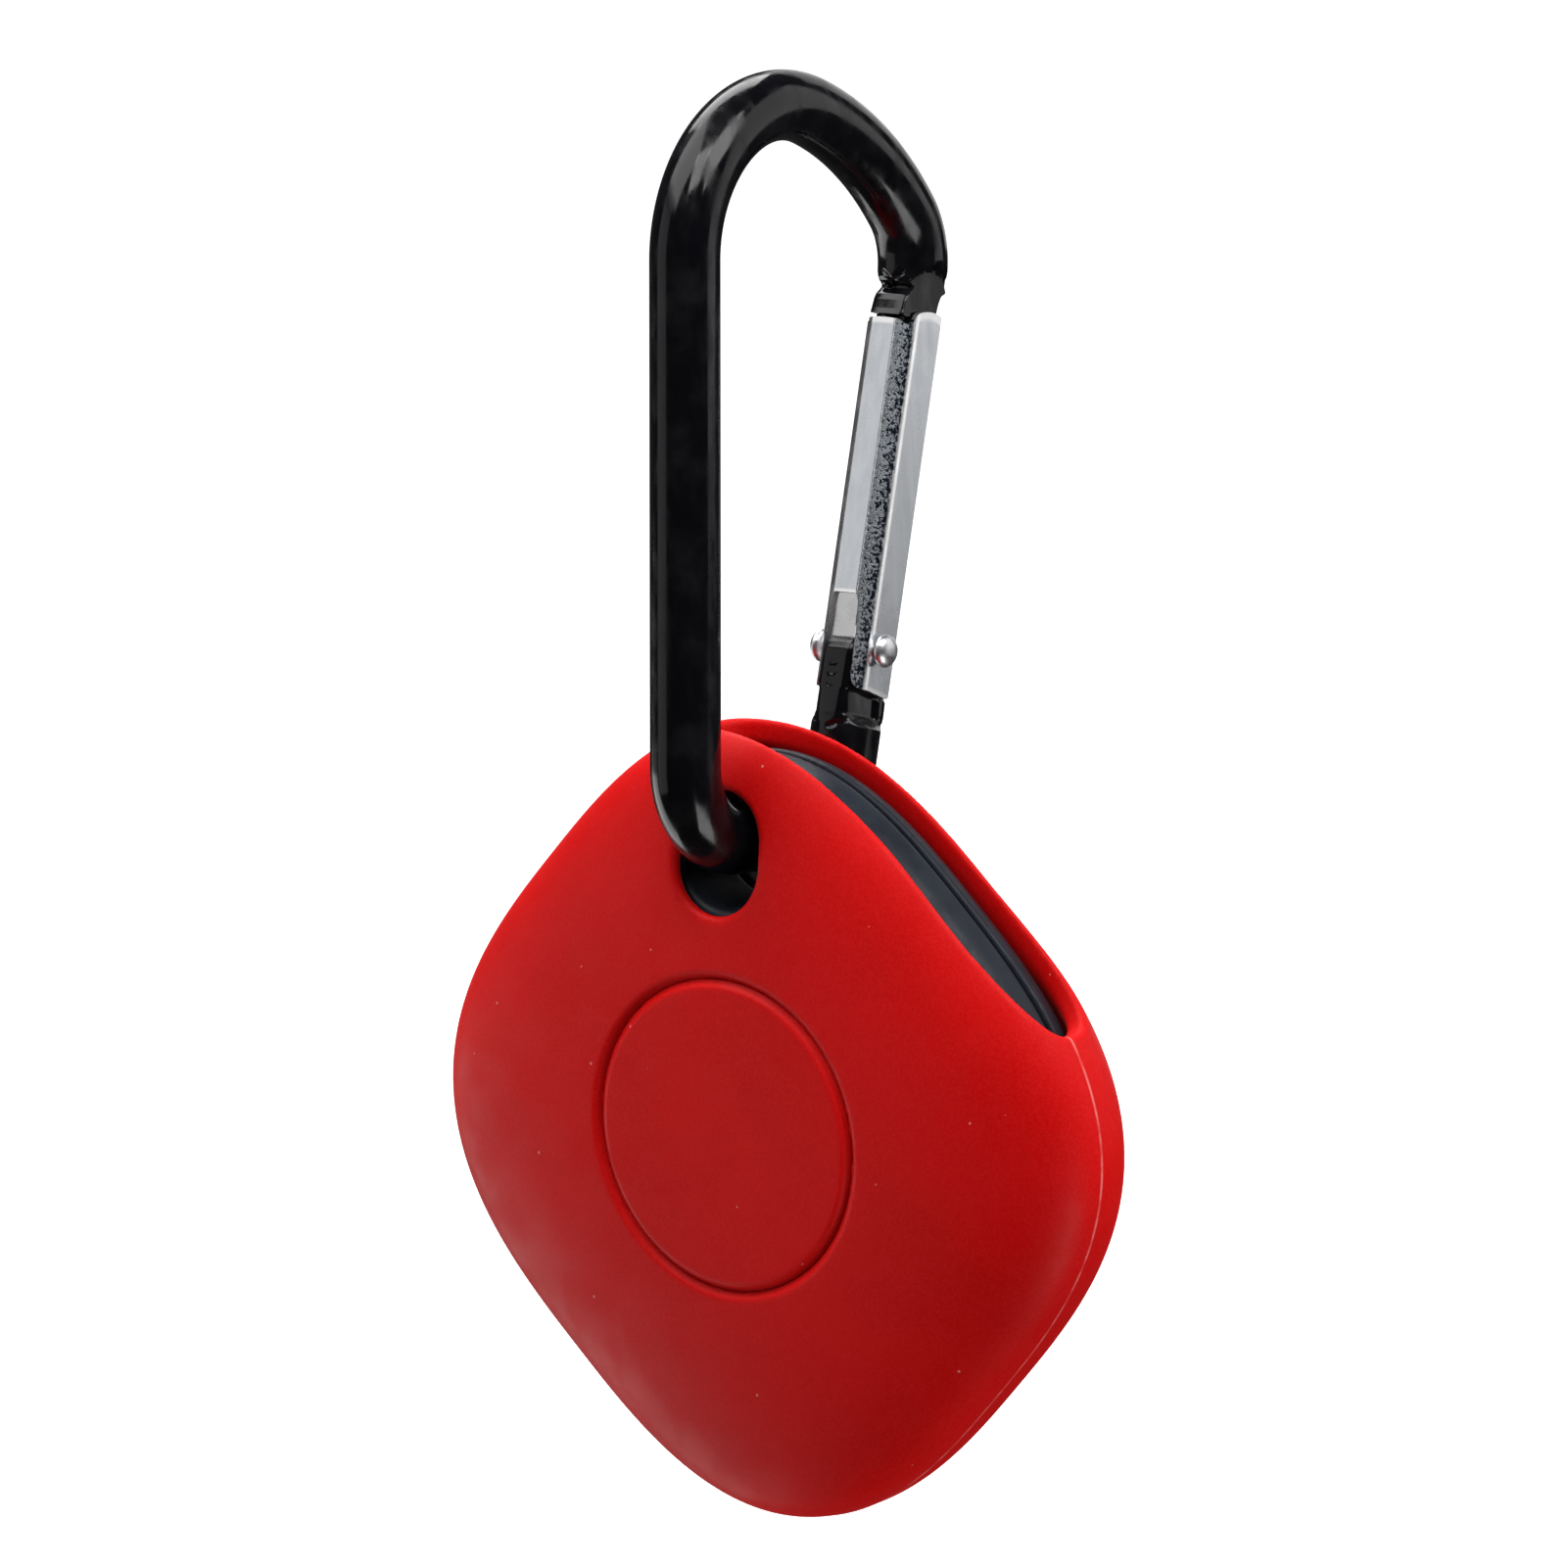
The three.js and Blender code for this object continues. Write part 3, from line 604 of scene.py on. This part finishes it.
def gate_column_ends(x, v):
    """Where the sheet starts and ends along the gate, at one place round its section."""
    bend_v = GATE_BACK + GATE_CORNER
    side = abs(x)
    across = (v - bend_v) / (GATE_MOUTH - bend_v)
    if side <= NOTCH_TOP_HALF:
        bottom = NOTCH_TOP
    elif side < NOTCH_HALF:
        share = (side - NOTCH_TOP_HALF) / (NOTCH_HALF - NOTCH_TOP_HALF)
        bottom = NOTCH_TOP + (NOTCH_SHOULDER - NOTCH_TOP) * share
    else:
        bottom = FLANK_FOOT + (MOUTH_FOOT - FLANK_FOOT) * max(0.0, across)
        near = (side - NOTCH_HALF) / (GATE_HALF - NOTCH_HALF)
        round_off = 1 - min(1.0, near)
        bottom += FOOT_ROUND * (1 - math.sqrt(max(0.0, 1 - round_off**2)))
    if across > 0:
        offset = 2 * across - FLANK_MIDDLE
        top = FLANK_TOP - FLANK_SAG * offset**2
        mouth = max(0.0, (v - GATE_MOUTH + MOUTH_REACH) / MOUTH_REACH)
        top -= MOUTH_ROUND * mouth**3
        bottom += MOUTH_ROUND * mouth**3
        return bottom, top
    along = math.degrees(math.atan2(bend_v - v, max(side - (GATE_HALF - GATE_CORNER), TINY)))
    web = WEB_TOP - WEB_SAG * (side / GATE_HALF) ** 2
    flank = FLANK_TOP - FLANK_SAG * FLANK_MIDDLE**2
    rise = float(smoothstep((RISE_DEGREES - along) / RISE_DEGREES))
    dip = math.exp(-(((along - DIP_DEGREES) / DIP_WIDTH) ** 2))
    return bottom, web + (flank - web) * rise - (web - CORNER_TOP) * DIP_SHARE * dip


def gate_sheet():
    """Points, faces and masks of the folded sheet, as outer and inner grids joined at the rim."""
    columns = gate_columns()
    rows = GATE_ROWS
    outer, inner, bend, turned, edge_highlight = [], [], [], [], []
    for x, v, nx, nv, corner in columns:
        bottom, top = gate_column_ends(x, v)
        for j in range(rows):
            t = j / (rows - 1)
            w = bottom + (top - bottom) * (0.5 - 0.5 * math.cos(math.pi * t))
            outer.append((x, *from_gate(v, w)))
            inner.append((x + nx * GATE_SHEET, *from_gate(v + nv * GATE_SHEET, w)))
            bend.append(math.sin(corner * math.pi) * (1.0 if x > 0 else LEFT_BEND_SHARE))
            turned.append(corner)
            # The cut ends get a painted highlight; the inner face gets it all over.
            at_end = j < HIGHLIGHT_FOOT_ROWS or j >= rows - HIGHLIGHT_TOP_ROWS
            edge_highlight.append(1.0 if at_end else 0.0)
    total = len(outer)
    faces = []
    for i in range(len(columns) - 1):
        for j in range(rows - 1):
            a, b = i * rows + j, (i + 1) * rows + j
            faces.append((a, b, b + 1, a + 1))
            faces.append((total + a, total + a + 1, total + b + 1, total + b))
    last = (len(columns) - 1) * rows
    for i in range(len(columns) - 1):
        a, b = i * rows, (i + 1) * rows
        top_a, top_b = a + rows - 1, b + rows - 1
        faces.append((b, a, total + a, total + b))
        faces.append((top_a, top_b, total + top_b, total + top_a))
    for j in range(rows - 1):
        faces.append((j, j + 1, total + j + 1, total + j))
        a = last + j
        faces.append((a + 1, a, total + a, total + a + 1))
    # The masks place the painted highlights and the painted shade of the gate's finish.
    masks = {"bend": bend + bend, "round": turned + turned, "bright": edge_highlight + [1.0] * total}
    return np.array(outer + inner), faces, masks


# ---- rivet and spring ------------------------------------------------------------------------------

# Half the rivet, from one head's tip to the middle of the shank: (radius, distance along X).
RIVET_PROFILE = (
    (0.22, 2.815),
    (0.42, 2.79),
    (0.62, 2.73),
    (0.78, 2.64),
    (0.90, 2.52),
    (0.96, 2.40),
    (0.95, 2.26),
    (0.88, 2.14),
    (0.74, 2.04),
    (0.56, 1.97),
    (0.48, 1.90),
    (0.46, 1.85),
    (0.40, 1.84),
    (0.40, 0.0),
)


def rivet_mesh(sides=48):
    """A shank along X with a rounded disc for a head at each end."""
    profile = list(RIVET_PROFILE)
    profile += [(r, -x) for r, x in reversed(profile[:-1])]
    points = []
    for r, x in profile:
        for j in range(sides):
            a = 2 * math.pi * j / sides
            y, z = from_gate(r * math.cos(a), r * math.sin(a))
            points.append((x, y, z))
    return np.array(points), tube_faces(len(profile), sides)


# The spring's line: places along the gate and outward from its pivot, and rounds of smoothing.
SPRING_W = (1.35, 2.55, 4.85, 8.7, 9.5)
SPRING_V = (0.2, 0.2, -0.2, -0.7, -0.7)
SPRING_SMOOTHING = 6


def spring_mesh(radius=0.25, sides=16, steps=48):
    """A wire from the tang's top up inside the gate to its closed back."""
    t = np.linspace(0, 1, steps + 1)
    w = SPRING_W[0] + (SPRING_W[-1] - SPRING_W[0]) * t
    v = np.interp(w, SPRING_W, SPRING_V)
    for _ in range(SPRING_SMOOTHING):
        v[1:-1] = (v[:-2] + 2 * v[1:-1] + v[2:]) / 4
    points = []
    for i in range(steps + 1):
        a, b = max(i - 1, 0), min(i + 1, steps)
        length = math.hypot(v[b] - v[a], w[b] - w[a])
        nv, nw = (w[b] - w[a]) / length, -(v[b] - v[a]) / length
        for j in range(sides):
            angle = 2 * math.pi * j / sides
            x = radius * math.cos(angle)
            s = radius * math.sin(angle)
            points.append((x, *from_gate(v[i] + s * nv, w[i] + s * nw)))
    return np.array(points), tube_faces(steps + 1, sides)


# ---- looks -----------------------------------------------------------------------------------------


GRAIN_DEPTH = 0.01


class Look:
    """A material with one Principled shader, and short ways to add nodes to it."""

    def __init__(self, name, color, roughness, metallic=0.0, **sockets):
        self.material = bpy.data.materials.new(name)
        self.material.use_nodes = True
        self.nodes = self.material.node_tree.nodes
        self.links = self.material.node_tree.links
        self.shader = self.nodes["Principled BSDF"]
        self.set("Base Color", (*color, 1.0))
        self.set("Roughness", roughness)
        self.set("Metallic", metallic)
        for socket, value in sockets.items():
            self.set(socket.replace("_", " "), value)
        self.place = self.nodes.new("ShaderNodeTexCoord").outputs["Object"]
        self.normal = None

    def set(self, socket, value):
        self.shader.inputs[socket].default_value = value

    def node(self, kind, settings=(), **inputs):
        made = self.nodes.new(kind)
        for name, value in dict(settings).items():
            setattr(made, name, value)
        for name, value in inputs.items():
            self.feed(made.inputs[name.replace("_", " ")], value)
        return made

    def feed(self, socket, value):
        if isinstance(value, bpy.types.NodeSocket):
            self.links.new(value, socket)
        else:
            socket.default_value = value

    def noise(self, size_mm, detail=3.0, stretch=(1, 1, 1), roughness=0.5):
        """Noise whose features are about size_mm across."""
        mapped = self.node("ShaderNodeMapping", Vector=self.place, Scale=stretch)
        made = self.node(
            "ShaderNodeTexNoise",
            Vector=mapped.outputs["Vector"],
            Scale=1.0 / (size_mm * MM),
            Detail=detail,
            Roughness=roughness,
        )
        return made.outputs["Fac"]

    def cells(self, size_mm):
        made = self.node("ShaderNodeTexVoronoi", Vector=self.place, Scale=1.0 / (size_mm * MM))
        return made.outputs["Distance"]

    def range(self, value, low, high, to_low, to_high):
        made = self.node(
            "ShaderNodeMapRange",
            {"interpolation_type": "SMOOTHSTEP"},
            Value=value,
            From_Min=low,
            From_Max=high,
            To_Min=to_low,
            To_Max=to_high,
        )
        return made.outputs["Result"]

    def mix(self, factor, first, second):
        made = self.node("ShaderNodeMix", {"data_type": "RGBA"})
        self.feed(made.inputs[0], factor)
        for socket, value in ((made.inputs[6], first), (made.inputs[7], second)):
            self.feed(socket, value if isinstance(value, bpy.types.NodeSocket) else (*value, 1.0))
        return made.outputs[2]

    def math(self, operation, first, second=0.0):
        made = self.node("ShaderNodeMath", {"operation": operation})
        self.feed(made.inputs[0], first)
        self.feed(made.inputs[1], second)
        return made.outputs["Value"]

    def attribute(self, name):
        return self.node("ShaderNodeAttribute", {"attribute_name": name}).outputs["Fac"]

    def height(self, value, depth_mm, strength):
        """Adds a bump layer over the ones already there."""
        made = self.node("ShaderNodeBump", Height=value, Strength=strength, Distance=depth_mm * MM)
        if self.normal:
            self.links.new(self.normal, made.inputs["Normal"])
        self.normal = made.outputs["Normal"]
        self.links.new(self.normal, self.shader.inputs["Normal"])

    def color_from(self, value):
        self.links.new(value, self.shader.inputs["Base Color"])

    def roughness_from(self, value):
        self.links.new(value, self.shader.inputs["Roughness"])


def silicone():
    look = Look(
        "red_silicone",
        (0.6, 0.01, 0.012),
        0.5,
        Subsurface_Weight=0.12,
        Subsurface_Radius=(1.0, 0.16, 0.12),
        Subsurface_Scale=0.8 * MM,
        Sheen_Weight=0.1,
        Sheen_Roughness=0.3,
        Sheen_Tint=(1.0, 0.25, 0.25, 1.0),
        Specular_IOR_Level=0.12,
    )
    cloudy = look.range(look.noise(9, 2), 0.3, 0.7, 0, 1)
    base = look.mix(cloudy, (0.66, 0.0014, 0.0012), (0.60, 0.0011, 0.0010))
    grain = look.range(look.noise(0.16, 2), 0.35, 0.68, 0, 1)
    base = look.mix(look.math("MULTIPLY", grain, 0.4), base, (0.74, 0.012, 0.014))
    speck = look.range(look.cells(2.8), 0.022, 0.04, 0.5, 0)
    base = look.mix(speck, base, (0.9, 0.42, 0.38))
    # The moulding line is painted lighter: a painted highlight along the ridge, broken up by noise.
    across = look.node("ShaderNodeSeparateXYZ", Vector=look.place).outputs["Y"]
    from_line = look.math("ABSOLUTE", look.math("SUBTRACT", across, (RIDGE_Y - HANG[1]) * MM))
    broken_highlight = look.range(look.noise(1.4, 4), 0.38, 0.62, 0.15, 0.6)
    line = look.range(from_line, 0.03 * MM, 0.13 * MM, 1, 0)
    base = look.mix(look.math("MULTIPLY", line, broken_highlight), base, (0.95, 0.30, 0.28))
    look.color_from(base)
    look.roughness_from(look.range(look.noise(2.5, 4), 0.3, 0.7, 0.46, 0.6))
    look.height(look.noise(0.12, 3), 0.012, 0.55)
    look.height(look.noise(1.8, 2), 0.02, 0.25)
    return look.material


def slate_plastic():
    look = Look("slate_plastic", (0.012, 0.015, 0.021), 0.42, Specular_IOR_Level=0.16)
    tint = look.range(look.noise(3.5, 3), 0.3, 0.7, 0, 1)
    look.color_from(look.mix(tint, (0.011, 0.0135, 0.020), (0.016, 0.020, 0.028)))
    look.roughness_from(look.range(look.noise(0.8, 4), 0.3, 0.7, 0.36, 0.5))
    look.height(look.noise(0.14, 3), 0.01, 0.5)
    return look.material


def black_enamel():
    look = Look("black_enamel", (0.004, 0.004, 0.005), 0.2, Specular_IOR_Level=0.26)
    wear = look.range(look.noise(2.2, 5), 0.42, 0.75, 0, 1)
    look.color_from(look.mix(wear, (0.002, 0.002, 0.003), (0.006, 0.006, 0.007)))
    look.roughness_from(look.range(look.noise(0.9, 5, (1, 1, 0.35)), 0.35, 0.75, 0.1, 0.3))
    look.height(look.noise(1.4, 2), 0.02, 0.15)
    look.height(look.noise(0.25, 3), 0.004, 0.25)
    return look.material


def plated_sheet():
    look = Look("plated_sheet", (0.55, 0.57, 0.6), 0.3, 1.0)
    corner = look.attribute("bend")
    lengthwise = look.noise(0.5, 3, (1, 1, 0.05))
    tint = look.range(lengthwise, 0.25, 0.75, 0, 1)
    plain = look.mix(tint, (0.57, 0.59, 0.62), (0.64, 0.66, 0.69))
    # Painted highlight: near-white on the cut ends and over the whole inner face.
    plain = look.mix(look.attribute("bright"), plain, (0.95, 0.95, 0.95))
    # Painted highlight: near-white strips along each bend, where the flat faces turn into the corner.
    beside = look.range(corner, 0.0, 0.14, 0, 1)
    plain = look.mix(beside, plain, (0.95, 0.95, 0.96))
    # Painted shade: a near-black band down the middle of each bend, darker towards the web side, over a real
    # pitted grain.
    shade_lean = look.math("MULTIPLY", look.attribute("round"), 0.24)
    shaded_grit = look.math("ADD", look.noise(0.2, 4, roughness=0.7), shade_lean)
    pitted_shade = look.range(shaded_grit, 0.57, 0.68, 0, 1)
    rough = look.mix(pitted_shade, (0.010, 0.014, 0.024), (0.30, 0.32, 0.34))
    ragged = look.math("ADD", corner, look.math("MULTIPLY", look.noise(0.3, 3), 0.2))
    ragged = look.math("ADD", ragged, look.math("MULTIPLY", look.attribute("round"), 0.2))
    shade_band = look.range(ragged, 0.70, 0.84, 0, 1)
    look.color_from(look.mix(shade_band, plain, rough))
    even = look.range(look.noise(1.6, 3), 0.3, 0.7, 0.24, 0.32)
    look.roughness_from(look.math("ADD", even, look.math("MULTIPLY", shade_band, 0.12)))
    look.height(look.math("MULTIPLY", pitted_shade, shade_band), 0.02, 0.6)
    look.height(lengthwise, 0.002, 0.2)
    return look.material


def speckled(name, first, second, rough, size_mm, metallic=0.0):
    """A plain finish: two near tones, a roughness range and a fine grain."""
    look = Look(name, first, rough[0], metallic)
    tone = look.range(look.noise(size_mm, 4), 0.35, 0.65, 0, 1)
    look.color_from(look.mix(tone, first, second))
    look.roughness_from(look.range(look.noise(size_mm / 2, 4), 0.3, 0.7, *rough))
    look.height(look.noise(size_mm / 6, 3), GRAIN_DEPTH, 0.5)
    return look.material


def inner_looks():
    """Finishes of the pieces inside the tracker."""
    steel = speckled("contact_steel", (0.6, 0.6, 0.62), (0.7, 0.7, 0.7), (0.22, 0.36), 0.6, 1.0)
    cell = speckled("battery_steel", (0.62, 0.62, 0.63), (0.72, 0.71, 0.7), (0.25, 0.42), 1.2, 1.0)
    brass = speckled("brass_sheet", (0.6, 0.4, 0.14), (0.72, 0.5, 0.2), (0.24, 0.4), 0.8, 1.0)
    board = speckled("green_board", (0.012, 0.09, 0.035), (0.02, 0.13, 0.055), (0.25, 0.4), 0.9)
    dark = speckled("dark_plastic", (0.012, 0.012, 0.014), (0.024, 0.024, 0.027), (0.4, 0.55), 0.7)
    white = speckled("white_plastic", (0.78, 0.77, 0.74), (0.85, 0.84, 0.8), (0.35, 0.5), 0.8)
    ceramic = speckled("white_ceramic", (0.8, 0.78, 0.74), (0.88, 0.87, 0.83), (0.3, 0.5), 0.5)
    rubber = speckled("grey_rubber", (0.1, 0.1, 0.11), (0.15, 0.15, 0.16), (0.6, 0.75), 0.8)
    return {
        "contact_steel": steel,
        "battery_steel": cell,
        "brass_sheet": brass,
        "green_board": board,
        "dark_plastic": dark,
        "white_plastic": white,
        "white_ceramic": ceramic,
        "grey_rubber": rubber,
    }


# ---- stage, lights and camera ----------------------------------------------------------------------

FLOOR_GAP = 0.004
CAMERA_AZIMUTH, CAMERA_ELEVATION, CAMERA_ROLL = 39.34, 12.04, -3.24
CAMERA_DISTANCE = 1.0
CAMERA_FOCAL = 17572.0
IMAGE_SIZE = 1601
CENTRE_OFFSET = (0.67, 340.06)


def camera():
    azimuth, elevation = math.radians(CAMERA_AZIMUTH), math.radians(CAMERA_ELEVATION)
    roll = math.radians(CAMERA_ROLL)
    back = Vector(
        (
            math.sin(azimuth) * math.cos(elevation),
            -math.cos(azimuth) * math.cos(elevation),
            math.sin(elevation),
        )
    )
    level = Vector((math.cos(azimuth), math.sin(azimuth), 0))
    rise = back.cross(level)
    right = math.cos(roll) * level + math.sin(roll) * rise
    up = -math.sin(roll) * level + math.cos(roll) * rise
    look = -back - right * (CENTRE_OFFSET[0] / CAMERA_FOCAL) + up * (CENTRE_OFFSET[1] / CAMERA_FOCAL)
    look.normalize()
    right = look.cross(up).normalized()
    up = right.cross(look)
    data = bpy.data.cameras.new("camera")
    data.sensor_width = 36.0
    data.lens = CAMERA_FOCAL / IMAGE_SIZE * data.sensor_width
    data.clip_start, data.clip_end = 0.05, 20.0
    obj = bpy.data.objects.new("camera", data)
    bpy.context.scene.collection.objects.link(obj)
    turn = Matrix((right, up, -look)).transposed()
    centre = Vector(to_part((0, 0, 0)))
    obj.matrix_world = Matrix.Translation(centre + back * CAMERA_DISTANCE) @ turn.to_4x4()
    bpy.context.scene.camera = obj


def softbox(name, place, target, width, height, radiance):
    """A soft area light at a place in metres, aimed at a target, as bright as radiance all over."""
    data = bpy.data.lights.new(name, "AREA")
    data.shape = "RECTANGLE"
    data.size, data.size_y = width, height
    data.energy = math.pi * width * height * radiance
    obj = bpy.data.objects.new(name, data)
    bpy.context.scene.collection.objects.link(obj)
    obj.location = place
    aim = Vector(target) - Vector(place)
    obj.rotation_mode = "QUATERNION"
    obj.rotation_quaternion = aim.to_track_quat("-Z", "Y")
    obj.visible_camera = False


def stage(lowest):
    """A pale floor that runs off into a white surround."""
    size = 3.0
    edit = bmesh.new()
    bmesh.ops.create_grid(edit, x_segments=2, y_segments=2, size=size)
    mesh = bpy.data.meshes.new("floor")
    edit.to_mesh(mesh)
    edit.free()
    floor = bpy.data.objects.new("floor", mesh)
    floor.location = (0, 0, lowest - FLOOR_GAP)
    bpy.context.scene.collection.objects.link(floor)
    pale = Look("floor_pale", (0.86, 0.86, 0.86), 0.8, Emission_Color=(1, 1, 1, 1), Emission_Strength=0.93)
    pale.color_from(pale.mix(pale.noise(60, 2), (0.84, 0.84, 0.84), (0.88, 0.88, 0.88)))
    mesh.materials.append(pale.material)
    floor.visible_diffuse = False
    floor.visible_glossy = False
    floor.visible_shadow = False
    world = bpy.data.worlds.new("surround")
    world.use_nodes = True
    shade = world.node_tree.nodes["Background"]
    shade.inputs["Color"].default_value = (1, 1, 1, 1)
    shade.inputs["Strength"].default_value = 0.04
    bpy.context.scene.world = world
    bpy.context.scene.view_settings.view_transform = "Standard"


def lights():
    centre = to_part((0, 0, 5))
    softbox("top", (-0.06, -0.08, 0.13), centre, 0.17, 0.13, 4.3)
    softbox("near_top", (0.045, -0.055, 0.08), to_part((8, 0, 16)), 0.05, 0.05, 8.0)
    softbox("top_right", (0.15, 0.0, 0.13), centre, 0.12, 0.12, 7.5)
    softbox("top_back", (-0.10, 0.07, 0.13), centre, 0.14, 0.10, 6.0)
    softbox("left_front", (-0.36, -0.40, 0.0), centre, 0.34, 0.5, 0.8)
    softbox("right_back", (0.34, 0.36, 0.12), centre, 0.4, 0.5, 1.3)
    softbox("back", (-0.14, 0.44, 0.08), centre, 0.34, 0.34, 0.9)
    softbox("low_left", (-0.30, -0.05, -0.22), centre, 0.2, 0.3, 2.8)
    softbox("low_right", (0.28, -0.06, -0.30), centre, 0.2, 0.2, 5.5)


# ---- building --------------------------------------------------------------------------------------

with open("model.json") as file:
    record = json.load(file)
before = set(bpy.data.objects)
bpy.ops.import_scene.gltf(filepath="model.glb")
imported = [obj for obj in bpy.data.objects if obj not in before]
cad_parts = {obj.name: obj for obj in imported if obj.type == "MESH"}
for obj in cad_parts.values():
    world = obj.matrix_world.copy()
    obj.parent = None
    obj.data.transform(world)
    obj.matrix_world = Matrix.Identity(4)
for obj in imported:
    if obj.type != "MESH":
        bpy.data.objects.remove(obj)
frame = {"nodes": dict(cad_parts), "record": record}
cad_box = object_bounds()
voxel = VOXEL


def piece(name, built, look, body, slot_name, *nodes, sharp=None):
    obj = make_object(name, *built, look, body, slot_name, sharp)
    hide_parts(*nodes)
    return obj


def build():
    """Makes every visible piece, and gives the CAD solids that stay their finishes."""
    red = silicone()
    slate = slate_plastic()
    black = black_enamel()
    plated = plated_sheet()
    inner = inner_looks()
    polished = speckled("polished_steel", (0.55, 0.55, 0.57), (0.64, 0.64, 0.66), (0.32, 0.42), 0.8, 1.0)
    wire = speckled("spring_wire", (0.55, 0.55, 0.56), (0.64, 0.64, 0.65), (0.2, 0.32), 0.5, 1.0)

    reach, depth = SLEEVE_REACH, SLEEVE_DEPTH
    full = ((-reach, -depth, -reach), (reach, depth, reach))
    piece("sleeve", surface(sleeve_field, *full, voxel), red, "tag", "red_silicone", "cover_sleeve")
    pad_box = ((-PAD_REACH, -depth, -PAD_REACH), (PAD_REACH, PAD_BACK, PAD_REACH))
    piece(
        "sleeve_pad",
        surface(pad_field, *pad_box, voxel * PAD_VOXEL_SHARE),
        red,
        "button",
        "red_silicone",
        "cover_button_pad",
    )
    reach, depth = CASE_REACH, CASE_DEPTH
    case = ((-reach, -depth, -reach), (reach, SEAM_Y + CASE_MARGIN, reach))
    piece(
        "front_shell",
        surface(front_shell_field, *case, voxel),
        slate,
        "tag",
        "slate_plastic",
        "tag_front_shell",
    )
    case = ((-reach, SEAM_Y - CASE_MARGIN, -reach), (reach, depth, reach))
    piece(
        "rear_shell",
        surface(rear_shell_field, *case, voxel),
        slate,
        "tag",
        "slate_plastic",
        "tag_rear_shell",
    )
    rod = piece(
        "rod",
        carabiner_rod(),
        black,
        "carabiner",
        "black_paint",
        "carabiner_frame",
        sharp=38,
    )
    outward(rod)
    points, faces, masks = gate_sheet()
    sheet = piece(
        "gate",
        (points, faces),
        plated,
        "gate",
        "plated_gate",
        "carabiner_gate",
        sharp=40,
    )
    for name, values in masks.items():
        mask = sheet.data.attributes.new(name, "FLOAT", "POINT")
        mask.data.foreach_set("value", np.array(values, np.float32))
    outward(sheet)
    edge = sheet.modifiers.new("edges", "BEVEL")
    edge.width = SHEET_BEVEL * MM
    edge.segments = BEVEL_SEGMENTS
    edge.limit_method = "ANGLE"
    edge.angle_limit = math.radians(BEVEL_DEGREES)
    edge.harden_normals = True
    pin = piece("rivet", rivet_mesh(), polished, "carabiner", "rivet_steel", "gate_rivet", sharp=50)
    outward(pin)
    spring = piece("spring", spring_mesh(), wire, None, "spring_steel", "gate_spring", sharp=50)
    outward(spring)
    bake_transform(spring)
    slots = {row["node"]: row["material_slot"] for row in frame["record"]["subparts"]}
    inner["slate_plastic"] = slate
    for name, node in frame["nodes"].items():
        if node.hide_render:
            continue
        node.data.materials.clear()
        node.data.materials.append(inner[slots[name]])


camera()
build()
stage(cad_box[0].z)
lights()
